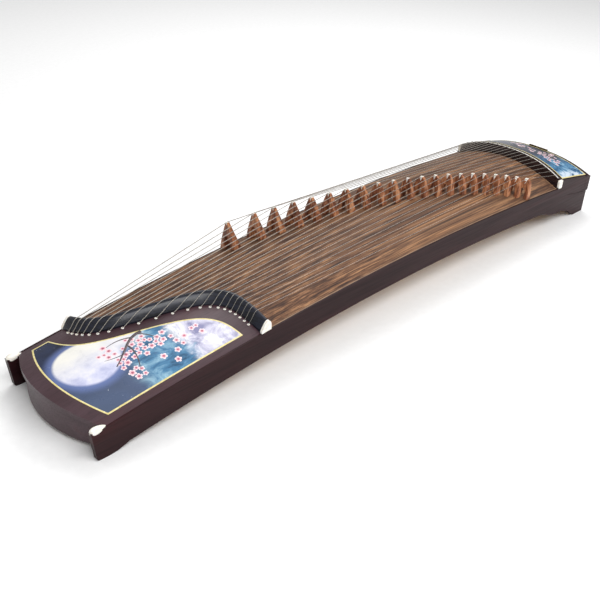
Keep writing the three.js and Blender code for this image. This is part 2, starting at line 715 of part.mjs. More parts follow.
// Front of a bridge in Y and Z: two legs with an arch between them and a narrow tip.
function bridgeOutline(half, height, i) {
  const shape = new THREE.Shape();
  const inner = half * BRIDGE_ARCH_WIDTH;
  const archZ = height * BRIDGE_ARCH_HEIGHT;
  shape.moveTo(-half, 0);
  shape.lineTo(-inner, 0);
  shape.quadraticCurveTo(-inner, archZ, 0, archZ);
  shape.quadraticCurveTo(inner, archZ, inner, 0);
  shape.lineTo(half, 0);
  bridgeFlank(shape, 1, half, height, i);
  shape.lineTo(-pick(BRIDGE_TIP_HALF, i), height);
  bridgeFlank(shape, -1, half, height, i);
  return shape;
}

// The feet follow the crown of the board. The bridge thins towards its tip and leans a little.
function addBridge(line, i) {
  const half = pick(BRIDGE_HALF_WIDTH, i);
  const thickness = pick(BRIDGE_THICKNESS, i);
  const offset = pick(BRIDGE_BASE_OFFSET, i);
  const height = line.bridgeHeight;
  const options = { depth: 1, bevelEnabled: false, curveSegments: 3 };
  const geometry = new THREE.ExtrudeGeometry(bridgeOutline(half, height, i), options);
  const position = geometry.attributes.position;
  const apex = topZ(line.bridgeX, line.bridgeY);
  for (let v = 0; v < position.count; v += 1) {
    const rise = position.getY(v) / height;
    const share = mix(1, BRIDGE_TOP_SHARE, rise);
    const depth = (position.getZ(v) - 0.5) * thickness * share + offset * (1 - rise);
    const x = line.bridgeX + depth;
    const y = line.bridgeY + position.getX(v);
    const base = mix(topZ(x, y) + GAP, apex + GAP, rise);
    position.setXYZ(v, depth, position.getX(v), base + position.getY(v));
  }
  const mesh = addPiece(pieceName('bridge', i), geometry, RED_WOOD);
  mesh.position.set(line.bridgeX, line.bridgeY, 0);
}

// One string: up through its hole, over the nut, the bridge and the head nut, down to its pin.
function stringRoute(line) {
  const lift = GAP + STRING_RADIUS;
  const over = (x, y, height) => [x, y, topZ(x, y) + height];
  const bridgeTop = topZ(line.bridgeX, line.bridgeY) + line.bridgeHeight + GAP + lift;
  const headTop = headNutZ(line.headY) + lift;
  const pinSide = PIN_RADIUS + GAP + STRING_RADIUS;
  const knotZ = topZ(line.holeX, line.tailY) - PLATE_THICKNESS - 1 - ANCHOR_SIZE / 2;
  const route = [
    [line.holeX, line.tailY, knotZ],
    over(line.holeX + 0.8, line.tailY, 1.5),
    over(sLine(line.tailY, TAIL_NUT_START - 1.6), line.tailY, TAIL_NUT_FEET[0] + 1),
  ];
  for (let step = 1; step <= 4; step += 1) {
    const x = sLine(line.tailY, TAIL_NUT_START + (TAIL_NUT_WIDTH * step) / 6);
    route.push(over(x, line.tailY, tailNutHeight(step / 6) + GAP + lift + STRING_CLEARANCE));
  }
  for (const side of [-0.55, 0.55]) {
    route.push([line.bridgeX + side * line.bridgeTip, line.bridgeY, bridgeTop]);
  }
  route.push([HEAD_NUT_X[0] + 5, line.headY, headTop]);
  route.push([HEAD_NUT_X[1] + 0.8, line.headY, headTop]);
  route.push([HEAD_NUT_X[1] + 2, line.headY, headTop - 4]);
  route.push([HEAD_NUT_X[1] + 2, line.headY, headTop - LID_THICKNESS - 5]);
  route.push([line.pinX, line.pinY + pinSide, PIN_STRING_Z]);
  route.push([line.pinX + 4, line.pinY + pinSide, PIN_STRING_Z]);
  return route;
}

// The strings' ends are knotted to one rail under the tail plate.
function addStrings() {
  const reach = TAIL_STRING_Y + 4;
  const rail = warpedBox([1, 24, 1], (s, t, w) => {
    const y = mix(-reach, reach, t);
    const x = sLine(y) + (s - 0.5) * ANCHOR_SIZE;
    return [x, y, topZ(x, y) - PLATE_THICKNESS - 1 - ANCHOR_SIZE * (1 - w)];
  });
  let strings = toSolid(rail);
  for (const line of stringLines()) {
    strings = strings.add(toSolid(tubeThrough(stringRoute(line), STRING_RADIUS, STRING_SIDES)));
  }
  addPiece('strings', toGeometry(strings), STEEL);
}

// A steel pin with a square-cut head, turned by a wrench.
function addTuningPin(line, i) {
  const top = PIN_TOP_Z[i % 2];
  const profile = [
    [0, PIN_BOTTOM_Z],
    [PIN_RADIUS, PIN_BOTTOM_Z],
    [PIN_RADIUS, top - PIN_SQUARE.height - PIN_SQUARE.taper],
    [PIN_SQUARE.radius, top - PIN_SQUARE.height],
    [PIN_SQUARE.radius, top],
    [0, top],
  ];
  const outline = profile.map(([radius, z]) => new THREE.Vector2(radius, z));
  const geometry = new THREE.LatheGeometry(outline, 8);
  geometry.rotateX(Math.PI / 2);
  const mesh = addPiece(pieceName('tuning_pin', i), geometry, STEEL);
  mesh.position.set(line.pinX, line.pinY, 0);
}

addSideBoard('side_board_near', -1);
addSideBoard('side_board_far', 1);
addSoundboard();
addTailPlate();
addTailEndBoard();
addTailNut();
addBottomBoard();
addInnerBraces();
addHeadNut();
addTuningBox();
addHeadBlock();
addHeadLowerBoard();
addLid();
addLidHinge();
addStrings();
stringLines().forEach(addBridge);
stringLines().forEach(addTuningPin);

// The rounded tail end reaches further out than the ears, so the middle is not at x = 0.
guzheng.position.x = MIDDLE_SHIFT;

export default guzheng;
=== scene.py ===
import random
from math import cos, hypot, pi, radians, sin, sqrt, tanh

import bmesh
import bpy
from mathutils import Matrix, Vector


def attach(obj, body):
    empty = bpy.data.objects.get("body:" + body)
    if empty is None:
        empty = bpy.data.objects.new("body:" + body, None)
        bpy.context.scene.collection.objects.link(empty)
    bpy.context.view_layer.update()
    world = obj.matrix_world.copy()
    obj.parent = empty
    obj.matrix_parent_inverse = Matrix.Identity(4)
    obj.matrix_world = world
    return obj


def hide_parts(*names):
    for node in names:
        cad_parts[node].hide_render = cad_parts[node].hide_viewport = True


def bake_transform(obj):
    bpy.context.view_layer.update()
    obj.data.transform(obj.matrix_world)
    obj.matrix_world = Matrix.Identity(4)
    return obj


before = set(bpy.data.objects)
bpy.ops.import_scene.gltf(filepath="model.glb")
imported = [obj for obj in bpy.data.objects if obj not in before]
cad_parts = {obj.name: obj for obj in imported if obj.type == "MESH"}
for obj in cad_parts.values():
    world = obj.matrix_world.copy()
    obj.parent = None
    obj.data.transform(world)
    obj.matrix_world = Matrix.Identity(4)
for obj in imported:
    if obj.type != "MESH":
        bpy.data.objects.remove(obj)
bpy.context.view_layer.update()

# Guzheng with 21 strings. Shapes are worked out in millimetres in the design's own frame,
# +X from tail to head and the player on the -Y side, and placed in the row frame in metres.
# A pair runs from tail to head, from lowest to highest string, or from start to end.
MM = 0.001
MIDDLE_SHIFT = 5.5

# Body.
TAIL_X = -785
HEAD_X = 802
WIDTH = (295, 341)
EDGE_Z = (65, 99.5)
EDGE_ARCH = 43.5
BOTTOM_Z = (4, 33.5)
BOTTOM_ARCH = 50
CROWN = (21, 39)
GAP = 0.3
SIDE_THICKNESS = 11
LIP = 4
SOUNDBOARD_THICKNESS = 8
PLATE_THICKNESS = 10
PLATE_OVERHANG = 2
END_BOARD_THICKNESS = 12
END_BOARD_SETBACK = 3
END_BOARD_FOOT_Z = 9
TAIL_BULGE = 41
EAR_END_X = -815
EAR_CORNER = 7
EAR_FOOT_X = (-801, -783)
EAR_HEEL_X = -766
BOTTOM_ARCH_X = (-740, 585)

# Tail nut and tail picture.
S_MIDDLE = (-564, 13.6)
S_REACH = 131.5
S_SOFTNESS = 47.5
TAIL_NUT_START = 5
TAIL_NUT_WIDTH = 24
TAIL_NUT_HEIGHT = 22
TAIL_NUT_FEET = (4, 9)
TAIL_NUT_PEAK = 0.68
SEAM_OFFSET = TAIL_NUT_START + TAIL_NUT_WIDTH / 2
PANEL_THICKNESS = 1.6
PANEL_MARGIN_END = 27.5
PANEL_INSET = 21
PANEL_S_X = -597
PANEL_S_REACH = 138
PANEL_S_SOFTNESS = 54.5
INLAY_WIDTH = 3.2
INLAY_PROUD = 0.35

# Head.
HEAD_NUT_X = (641, 660)
HEAD_NUT_ABOVE_LID = 0.5
HEAD_NUT_STEP = 0.2
HEAD_NUT_STEP_Z = 3
LID_X = (664, 802)
LID_THICKNESS = 6
LID_EDGE_RAISE = (22, 7.5)
LID_CROWN = (39.5, 28)
LID_CROWN_POWER = 2.4
LID_SEAT_GAP = 1.2
LID_SIDE_GAP = 0.4
LID_FLARE = 0.008
LID_MARGIN = 4
HEAD_BLOCK_X = (792, 815)
HEAD_BLOCK_Z = 63
HINGE_X = 803.5
HEAD_LOWER_X = (795, 806)
FOOT_X = (760, 808)

# Strings, bridges and pins.
STRING_COUNT = 21
TAIL_STRING_Y = 119.4
HEAD_STRING_Y = 148
STRING_RADIUS = (0.85, 0.42)
BRIDGE_FIRST_X = -259
BRIDGE_STEP = 51.6
BRIDGE_STEP_LOSS = 0.67
BASS_BRIDGE_SETBACK = 17.5
BRIDGE_HEIGHT = (68, 45)
BRIDGE_HEIGHT_EASE = 2
BRIDGE_HALF_WIDTH = (25, 17)
BRIDGE_THICKNESS = (20, 18)
BRIDGE_TOP_SHARE = 0.36
BRIDGE_BASE_OFFSET = (10, -6)
BRIDGE_ARCH = (0.44, 0.48)
BRIDGE_SHOULDER_WIDTH = (0.52, 0.84)
BRIDGE_SHOULDER_HEIGHT = (0.6, 0.7)
BRIDGE_HIP_WIDTH = (0.86, 1)
BRIDGE_NECK_WIDTH = (0.5, 0.9)
BRIDGE_NECK_HEIGHT = (0.86, 0.94)
BRIDGE_TIP_HALF = (3, 4.5)
BRIDGE_TIP_DEPTH = (8, 14)
STRING_CLIMB = 0.72
STRING_CLIMB_STEPS = 8
STRING_LIFT = 0.2
PIN_ROWS_X = (702, 738)
PIN_Y_SHARE = 0.97
PIN_RADIUS = 2.6
PIN_BOTTOM_Z = 66
PIN_TOP_Z = (112, 106)
PIN_STRING_Z = 98
COIL_TURNS = 3
COIL_STEPS = 12
COIL_PITCH = 2.1

# Cuts, joint lines and edge lines.
CUT_REACH = 60
LONG_STEPS = 40
SEAM_GAP = 0.5
SOUNDBOARD_END_X = HEAD_NUT_X[1] - 10
HOLE_RADIUS = 2.4
GROOVE_X = (700, FOOT_X[1] + 2)
GROOVE_Z = (78, 60.5)
GROOVE_DEPTH = 0.8
GROOVE_WIDTH = 1.2
EDGE_LINE_OUT = (-1.6, 0.4)
EDGE_LINE_PROUD = 0.2
CROSS_LINE_X = (HEAD_NUT_X[0] - 5.5, HEAD_NUT_X[0] - 3.5)
HEAD_FOOT_CURVES = (
    (((615, 42), (640, 36)), 6),
    (((662, 32), (684, 34)), 6),
    (((715, 26), (735, 20), (FOOT_X[0] - 14, 8)), 8),
)
HEAD_ARCH_RISE = 34
HEAD_ARCH_FOOT_Z = 2

# Bone fittings and felt.
INLAY_PROFILE = ((-1, -1), (-1, 0.1), (-0.7, INLAY_PROUD), (0.7, INLAY_PROUD), (1, 0.1), (1, -1))
EAR_CAP_INSET = 10
EAR_CAP_LENGTH = (10, 24)
EAR_CAP_EASE = (0.8, 1.5)
EAR_CAP_GIRTH = (6.8, 8)
EAR_CAP_RINGS = 16
TAIL_CAP_GROW = 0.5
TAIL_CAP_OUT = (-5, 0.6)
HEAD_CAP_OUT = (-7, 0.8)
TAIL_NUT_STEPS = 120
HEAD_STEPS = 60
BONE_STRIP_X = (HEAD_NUT_X[0] + 9, HEAD_NUT_X[0] + 12)
BONE_STRIP_RISE = 0.5
BUSHING_PROFILE = ((1.8, -3), (2.3, -3), (2.3, -0.3), (3.0, 0), (3.0, 0.6), (2.5, 1.2),
                   (1.9, 1.3), (1.2, 0.9), (1.2, -2))
FELT_X = (LID_X[0] + 3, LID_X[0] + 9)
FELT_SHORT = 14
FELT_RISE = (-0.9, 0.1)

# Painted blossoms and branches.
PETAL_SIDES = 40
PETAL_LEVELS = (1.0, 0.75, 0.45, 0.16)
PETAL_NOTCH = 0.42
BRANCH_STEPS = 14
BRANCH_TAPER = 0.7
BRANCH_FLATNESS = 0.35
SCATTER_TRIES = 400

# Studio, in metres and degrees.
FLOOR_HALF = 18
LIGHT_TARGET = (0, 0, 0.1)
CAMERA_PLACE = (-1.37396, -1.15828, 1.04017)
CAMERA_TURN = (43.675, -31.692, 3.17)
CAMERA_LENS = 51.39

BEVEL_ANGLE = radians(35)
SHARP_ANGLE = radians(50)


# ---- the design's surfaces ----

def mix(a, b, t):
    return a + (b - a) * t


def along(x):
    return (x - TAIL_X) / (HEAD_X - TAIL_X)


def arch(t):
    return 4 * t * (1 - t)


def edge_z(x):
    return mix(*EDGE_Z, along(x)) + EDGE_ARCH * arch(along(x))


def bottom_z(x):
    return mix(*BOTTOM_Z, along(x)) + BOTTOM_ARCH * arch(along(x))


def half_width(x):
    return mix(*WIDTH, along(x)) / 2


def inner_half(x):
    return half_width(x) - SIDE_THICKNESS - GAP


def top_half(x):
    return half_width(x) - LIP - GAP


def top_z(x, y):
    across = min(1, abs(y) / top_half(x))
    return edge_z(x) + mix(*CROWN, along(x)) * (1 - across * across)


def head_share(x):
    return (x - LID_X[0]) / (HEAD_BLOCK_X[1] - LID_X[0])


def head_edge_z(x):
    return edge_z(x) + mix(*LID_EDGE_RAISE, head_share(x))


def lid_z(x, y):
    across = min(1, abs(y) / (half_width(x) - LIP))
    return head_edge_z(x) + mix(*LID_CROWN, head_share(x)) * (1 - across ** LID_CROWN_POWER)


def lid_half(x):
    return half_width(LID_X[0]) - LIP - LID_SIDE_GAP + LID_FLARE * (x - LID_X[0])


def s_line(y, offset=0):
    """The S of the string holes, or a line beside it."""
    bend = (y - S_MIDDLE[1] - 0.7 * offset) / S_SOFTNESS
    return S_MIDDLE[0] + offset - S_REACH * tanh(bend)


def seam_x(across):
    return s_line(across * top_half(S_MIDDLE[0]), SEAM_OFFSET)


def tail_edge_x(across):
    return TAIL_X - TAIL_BULGE * (1 - across * across)


def tail_nut_height(s):
    """A long slope, a rounded ridge and a steep back."""
    front, back = TAIL_NUT_FEET
    if s < TAIL_NUT_PEAK:
        return mix(front, TAIL_NUT_HEIGHT, sin(pi / 2 * s / TAIL_NUT_PEAK))
    fall = (s - TAIL_NUT_PEAK) / (1 - TAIL_NUT_PEAK)
    return mix(back, TAIL_NUT_HEIGHT, sqrt(max(0, 1 - fall * fall)))


def head_nut_z(y):
    return lid_z(HEAD_NUT_X[1], y) + HEAD_NUT_ABOVE_LID


def row_point(x, y, z):
    return Vector(((x + MIDDLE_SHIFT) * MM, y * MM, z * MM))


# ---- shapes: each is a list of points in millimetres and a list of faces ----

def lattice(steps, place):
    """The skin of a unit box cut in steps, its corners carried to place(s, t, w)."""
    index = {}
    points = []
    faces = []

    def corner(cell):
        if cell not in index:
            index[cell] = len(points)
            points.append(place(*(cell[axis] / steps[axis] for axis in range(3))))
        return index[cell]

    for axis in range(3):
        u, v = (axis + 1) % 3, (axis + 2) % 3
        for end in (0, steps[axis]):
            for a in range(steps[u]):
                for b in range(steps[v]):
                    ring = []
                    for da, db in ((0, 0), (1, 0), (1, 1), (0, 1)):
                        cell = [0, 0, 0]
                        cell[axis], cell[u], cell[v] = end, a + da, b + db
                        ring.append(corner(tuple(cell)))
                    faces.append(ring if end else ring[::-1])
    return points, faces


def loft(rings, closed=False):
    """A skin over rings of points, capped at both ends or joined into a loop."""
    size = len(rings[0])
    count = len(rings)
    points = [point for ring in rings for point in ring]
    faces = []
    for i in range(count if closed else count - 1):
        after = (i + 1) % count
        for j in range(size):
            k = (j + 1) % size
            faces.append([i * size + j, i * size + k, after * size + k, after * size + j])
    if not closed:
        faces.append(list(range(size))[::-1])
        faces.append(list(range((count - 1) * size, count * size)))
    return points, faces


def circle(sides, turn=0):
    """The cosine and sine of angles round a circle."""
    angles = [2 * pi * (j + turn) / sides for j in range(sides)]
    return [(cos(angle), sin(angle)) for angle in angles]


def tube(path, radii, sides=8, flat=1):
    """A round skin along a path. flat squashes it in Z."""
    spots = [Vector(p) for p in path]
    rings = []
    across = None
    for i, spot in enumerate(spots):
        ahead = (spots[min(i + 1, len(spots) - 1)] - spots[max(i - 1, 0)]).normalized()
        if across is None:
            across = ahead.cross(Vector((0, 0, 1)))
            if across.length < 0.1:
                across = ahead.cross(Vector((0, 1, 0)))
        across = (across - ahead * across.dot(ahead)).normalized()
        beside = ahead.cross(across)
        ring = []
        for c, s in circle(sides):
            reach = (across * c + beside * s) * radii[i]
            reach.z *= flat
            ring.append(tuple(spot + reach))
        rings.append(ring)
    return loft(rings)


def turned(profile, centre, sides, closed=False):
    """A lathe shape from (radius, height) pairs."""
    x, y, z = centre
    rings = [[(x + radius * c, y + radius * s, z + height) for c, s in circle(sides)]
             for radius, height in profile]
    return loft(rings, closed)


def curve_points(corners, steps):
    """Points along a Bezier curve, without its first point."""
    made = []
    for i in range(1, steps + 1):
        level = [Vector(c) for c in corners]
        while len(level) > 1:
            level = [a.lerp(b, i / steps) for a, b in zip(level, level[1:])]
        made.append(tuple(level[0]))
    return made


def plan(start, end, half, inset=0):
    """Plan points from start to end, and half(x) less an inset to each side."""
    def spot(s, t):
        x = mix(start, end, s)
        return x, (2 * t - 1) * (half(x) - inset)
    return spot


def layer(steps, spot, surface, low, high):
    """A slab over the plan points of spot, from low to high above a surface."""
    def place(s, t, w):
        x, y = spot(s, t)
        return x, y, surface(x, y) + mix(low, high, w)
    return lattice(steps, place)


# ---- from shapes to pieces ----

def add_object(name, data):
    made = bpy.data.objects.new(name, data)
    bpy.context.scene.collection.objects.link(made)
    return made


def build_mesh(shapes):
    made = bmesh.new()
    for points, faces in shapes:
        corners = [made.verts.new(row_point(*p)) for p in points]
        for face in faces:
            made.faces.new([corners[i] for i in face])
    bmesh.ops.recalc_face_normals(made, faces=made.faces)
    mesh = bpy.data.meshes.new("shape")
    made.to_mesh(mesh)
    made.free()
    return mesh


def carved(mesh, cutters):
    """A mesh less some shapes."""
    body, cutter = [add_object("carving", part) for part in (mesh, build_mesh(cutters))]
    cut = body.modifiers.new("cut", "BOOLEAN")
    cut.operation = "DIFFERENCE"
    cut.solver = "EXACT"
    cut.object = cutter
    graph = bpy.context.evaluated_depsgraph_get()
    mesh = bpy.data.meshes.new_from_object(body.evaluated_get(graph))
    for obj in (body, cutter):
        bpy.data.objects.remove(obj)
    return mesh


def round_edges(mesh, bevel):
    made = bmesh.new()
    made.from_mesh(mesh)
    bmesh.ops.remove_doubles(made, verts=made.verts, dist=0.00001)
    edges = [e for e in made.edges if e.is_manifold and e.calc_face_angle() > BEVEL_ANGLE]
    bmesh.ops.bevel(made, geom=edges, offset=bevel * MM, segments=2, profile=0.5,
                    affect="EDGES", clamp_overlap=True)
    made.to_mesh(mesh)
    made.free()


def piece(name, shapes, material, body="root", bevel=0, stands_for=()):
    """Makes one piece. Where body is None it rides on none."""
    mesh = shapes if isinstance(shapes, bpy.types.Mesh) else build_mesh(shapes)
    mesh.name = name
    if bevel:
        round_edges(mesh, bevel)
    mesh.polygons.foreach_set("use_smooth", [True] * len(mesh.polygons))
    mesh.set_sharp_from_angle(angle=SHARP_ANGLE)
    mesh.materials.clear()
    mesh.materials.append(material)
    made = add_object(name, mesh)
    if bevel:
        weighted = made.modifiers.new("weighted_normals", "WEIGHTED_NORMAL")
        weighted.keep_sharp = True
    if body:
        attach(made, body)
    if stands_for:
        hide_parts(*stands_for)
    return made


# ---- materials ----

def linear(colour):
    """A socket's colour. Three numbers are a screen colour, 0 to 255."""
    if len(colour) == 4:
        return colour
    shares = [value / 255 for value in colour]
    return (*(s / 12.92 if s <= 0.04045 else ((s + 0.055) / 1.055) ** 2.4 for s in shares), 1)


class Nodes:
    """A node tree in the making. A value may be another node's output."""

    def __init__(self, tree):
        self.tree = tree

    def put(self, socket, value):
        if isinstance(value, bpy.types.NodeSocket):
            self.tree.links.new(value, socket)
        else:
            socket.default_value = linear(value) if socket.type == "RGBA" else value

    def fill(self, node, *values, **named):
        for socket, value in zip(node.inputs, values):
            self.put(socket, value)
        for name, value in named.items():
            self.put(node.inputs[name.replace("_", " ")], value)
        return node

    def node(self, kind, *values, **named):
        return self.fill(self.tree.nodes.new("ShaderNode" + kind), *values, **named)


class Surface(Nodes):
    """A material in the making: calls add nodes and give back outputs."""

    def __init__(self, name, **settings):
        self.material = bpy.data.materials.new(name)
        self.material.use_nodes = True
        super().__init__(self.material.node_tree)
        self.shader = self.tree.nodes["Principled BSDF"]
        self.fill(self.shader, **settings)
        self.place = self.node("TexCoord").outputs["Object"]

    def noise(self, stretch=None, scale=1, detail=4, roughness=0.5, distortion=0):
        vector = self.place
        if stretch:
            vector = self.node("Mapping", Vector=self.place, Scale=stretch).outputs[0]
        return self.node("TexNoise", Vector=vector, Scale=scale, Detail=detail,
                         Roughness=roughness, Distortion=distortion).outputs[0]

    def maths(self, operation, *values):
        node = self.node("Math", *values)
        node.operation = operation
        return node.outputs[0]

    def plus(self, value, other, times):
        return self.maths("ADD", value, self.maths("MULTIPLY", other, times))

    def span(self, value, start, end, low=0, high=1):
        """value from start to end, carried smoothly to low to high."""
        node = self.node("MapRange", value, start, end, low, high)
        node.interpolation_type = "SMOOTHSTEP"
        return node.outputs[0]

    def ramp(self, value, stops):
        node = self.node("ValToRGB", value)
        marks = node.color_ramp.elements
        while len(marks) < len(stops):
            marks.new(0.5)
        for mark, (position, colour) in zip(marks, stops.items()):
            mark.position = position
            mark.color = linear(colour)
        return node.outputs[0]

    def blend(self, share, below, above):
        node = self.node("Mix")
        node.data_type = "RGBA"
        for index, value in ((0, share), (6, below), (7, above)):
            self.put(node.inputs[index], value)
        return node.outputs[2]

    def over(self, base, colour, value, start, end, low, high):
        """base with a colour over it, low to high as value goes from start to end."""
        return self.blend(self.span(value, start, end, low, high), base, colour)

    def axis(self, number):
        return self.node("SeparateXYZ", self.place).outputs[number]

    def plan_distance(self, x, y):
        """How far a point is from (x, y) in plan, in metres."""
        sides = [self.maths("SUBTRACT", self.axis(i), value) for i, value in enumerate((x, y))]
        squares = [self.maths("MULTIPLY", side, side) for side in sides]
        return self.maths("SQRT", self.maths("ADD", *squares))

    def finish(self, colour, grain, rough, bump=None, height=None):
        """Sets the colour, the roughness and a (strength, distance) bump."""
        self.fill(self.shader, Base_Color=colour, Roughness=self.span(grain, 0.25, 0.75, *rough))
        if bump:
            height = grain if height is None else height
            relief = self.node("Bump", Strength=bump[0], Distance=bump[1], Height=height)
            self.fill(self.shader, Normal=relief.outputs[0])
        return self.material


def grained(name, stretch, stops, rough, bump=None, noise=None, **settings):
    """A material that follows one noise throughout."""
    made = Surface(name, **settings)
    grain = made.noise(stretch, **(noise or {}))
    return made.finish(made.ramp(grain, stops), grain, rough, bump)


def soundboard_wood():
    """Burnt and brushed paulownia: dark and tan streaks, fine raised grain."""
    made = Surface("burnt_paulownia", Specular_IOR_Level=0.25)
    broad = made.noise((0.5, 80, 80), detail=3, distortion=0.1)
    streak = made.noise((0.9, 230, 230), roughness=0.6)
    fine = made.noise((3, 600, 600), roughness=0.6)
    pores = made.noise((30, 1100, 1100), detail=3)
    cast = made.noise((0.8, 20, 20), detail=2)
    tone = made.plus(made.plus(made.maths("MULTIPLY", broad, 0.25), streak, 0.4), fine, 0.35)
    wood = made.ramp(tone, {
        0.40: (44, 29, 24), 0.47: (84, 56, 41), 0.53: (124, 87, 61), 0.60: (172, 128, 90)})
    wood = made.over(wood, (108, 90, 76), cast, 0.45, 0.62, 0, 0.22)
    wood = made.over(wood, (36, 27, 24), pores, 0.55, 0.7, 0, 0.5)
    return made.finish(wood, fine, (0.46, 0.66), (0.5, 0.0004), made.maths("ADD", streak, fine))


def dark_wood(name, tones, line, gloss):
    """Satin lacquer over close-grained wood."""
    made = Surface(name, Specular_IOR_Level=gloss, Coat_Weight=gloss / 3, Coat_Roughness=0.25)
    broad = made.noise((1.6, 12, 26), detail=3, distortion=0.4)
    grain = made.noise((5, 260, 260), detail=5, roughness=0.65)
    base = made.ramp(broad, dict(zip((0.3, 0.55, 0.75), tones)))
    base = made.over(base, line, grain, 0.45, 0.7, 0, 0.5)
    return made.finish(base, grain, (0.36, 0.5), (0.16, 0.0002))


def nut_wood(name, dark, light, coat):
    """Very dark hardwood, polished, with faint grain."""
    return grained(name, (60, 30, 200), {0.35: dark, 0.65: light}, (0.22, 0.36), (0.12, 0.0002),
                   {"detail": 5}, Specular_IOR_Level=0.35, Coat_Weight=coat, Coat_Roughness=0.15)


def plain_wood():
    """Bare light wood with growth rings."""
    made = Surface("bare_wood", Specular_IOR_Level=0.3)
    broad = made.noise((1.5, 24, 24), distortion=0.8)
    fine = made.noise((8, 300, 300))
    wood = made.ramp(broad, {0.35: (158, 120, 80), 0.65: (205, 170, 122)})
    wood = made.over(wood, (128, 92, 58), fine, 0.5, 0.7, 0, 0.35)
    return made.finish(wood, fine, (0.6, 0.78), (0.4, 0.0004))


def bridge_wood():
    """Red sandalwood: upright streaks from tan to deep brown, satin."""
    made = Surface("red_sandalwood", Specular_IOR_Level=0.35)
    broad = made.noise((55, 70, 22), detail=5, distortion=1.2)
    fine = made.noise((420, 420, 60))
    wood = made.ramp(broad, {0.36: (104, 60, 40), 0.5: (156, 98, 66), 0.62: (196, 138, 98)})
    wood = made.over(wood, (70, 38, 28), fine, 0.5, 0.72, 0, 0.5)
    return made.finish(wood, fine, (0.38, 0.55), (0.3, 0.0002))


def metal(name, stretch, dark, light, rough):
    """Finely brushed metal."""
    return grained(name, stretch, {0.3: dark, 0.7: light}, rough, (0.15, 0.0001),
                   {"roughness": 0.6}, Metallic=1.0)


def string_metal():
    """Silvery string. Its winding is a fine wave."""
    made = Surface("wound_string", Metallic=0.6)
    wave = made.node("TexWave", Vector=made.place, Scale=420, Distortion=1).outputs[1]
    silver = made.ramp(wave, {0.0: (116, 110, 102), 1.0: (204, 198, 188)})
    return made.finish(silver, wave, (0.26, 0.4), (0.3, 0.0001))


def painted_sky(made):
    """Night sky at the tail, then teal mist and white cloud."""
    drift = made.noise(scale=9, detail=5, distortion=0.7)
    sky = made.ramp(drift, {0.3: (16, 18, 32), 0.55: (38, 48, 76), 0.75: (72, 90, 128)})
    sky = made.over(sky, (104, 120, 150), made.axis(1), -0.11, 0.03, 0.5, 0)
    mist = made.noise((1, 1.6, 1), scale=17, detail=9, roughness=0.66, distortion=0.9)
    teal = made.ramp(mist, {0.36: (36, 72, 104), 0.5: (76, 130, 168), 0.64: (160, 198, 216)})
    reach = made.plus(made.axis(0), mist, 0.06)
    sky = made.over(sky, teal, reach, -0.655, -0.605, 0, 0.92)
    billow = made.noise(scale=26, detail=10, roughness=0.6, distortion=0.5)
    cloud = made.ramp(billow, {0.38: (132, 130, 168), 0.5: (204, 200, 220), 0.6: (244, 243, 248)})
    puff = made.plus(made.axis(0), billow, 0.09)
    return made.over(sky, cloud, puff, -0.525, -0.49, 0, 0.95)


def add_stars(made, sky):
    flat = made.node("Mapping", Vector=made.place, Scale=(1, 1, 0)).outputs[0]
    cells = made.node("TexVoronoi", Vector=flat, Scale=130)
    spots = made.span(cells.outputs["Distance"], 0.05, 0.09, 1, 0)
    chosen = made.noise(scale=60, detail=1)
    here = made.span(made.axis(0), -0.68, -0.64, 1, 0)
    share = made.maths("MULTIPLY", spots, here)
    share = made.maths("MULTIPLY", share, made.span(chosen, 0.48, 0.6))
    return made.blend(share, sky, (236, 240, 252))


def tail_picture():
    """A full moon over mist in a starry night, under gloss lacquer."""
    made = Surface("tail_picture", Specular_IOR_Level=0.25)
    sky = add_stars(made, painted_sky(made))
    moon_x, moon_y, moon_radius = -0.719, 0.001, 0.065
    away = made.plan_distance(moon_x, moon_y)
    sky = made.over(sky, (112, 130, 184), away, moon_radius, moon_radius + 0.022, 0.7, 0)
    seas = made.noise(scale=22, detail=6, roughness=0.6)
    haze = made.plus(made.plan_distance(-0.645, 0.02), seas, 0.05)
    sky = made.over(sky, (240, 238, 240), haze, 0.045, 0.085, 0.9, 0)
    face = made.ramp(seas, {0.34: (176, 180, 214), 0.5: (206, 208, 232), 0.64: (230, 229, 238)})
    face = made.over(face, (244, 241, 226), made.axis(1), moon_y - 0.05, moon_y + 0.06, 0, 0.8)
    picture = made.over(sky, face, away, moon_radius - 0.006, moon_radius + 0.002, 1, 0)
    return made.finish(picture, seas, (0.24, 0.34), (0.03, 0.0001))


def lid_picture():
    """The same night without the moon, misty towards the player."""
    made = Surface("lid_picture", Specular_IOR_Level=0.12)
    drift = made.noise(scale=14, detail=6, distortion=0.7)
    sky = made.ramp(drift, {0.3: (8, 10, 22), 0.6: (26, 36, 66)})
    mist = made.noise(scale=30, detail=9, roughness=0.66, distortion=0.9)
    teal = made.ramp(mist, {0.36: (26, 62, 96), 0.5: (66, 122, 162), 0.64: (160, 196, 214)})
    reach = made.plus(made.axis(1), drift, -0.16)
    sky = made.over(sky, teal, reach, -0.2, -0.13, 0.95, 0)
    cloud = made.plus(made.axis(1), mist, -0.2)
    sky = made.over(sky, (226, 230, 240), cloud, -0.27, -0.24, 0.6, 0)
    return made.finish(sky, mist, (0.24, 0.34), (0.03, 0.0001))


def blossom_paint():
    """From a deep rose heart to a pale rim."""
    made = Surface("blossom_paint", Coat_Weight=0.3, Coat_Roughness=0.2)
    out = made.node("Attribute")
    out.attribute_name = "petal"
    mottle = made.noise(scale=420)
    rose = made.ramp(made.plus(out.outputs["Fac"], mottle, 0.2), {
        0.16: (112, 28, 48), 0.38: (200, 108, 130), 0.62: (232, 186, 198), 1.0: (248, 232, 234)})
    return made.finish(rose, mottle, (0.32, 0.46), (0.1, 0.0001))


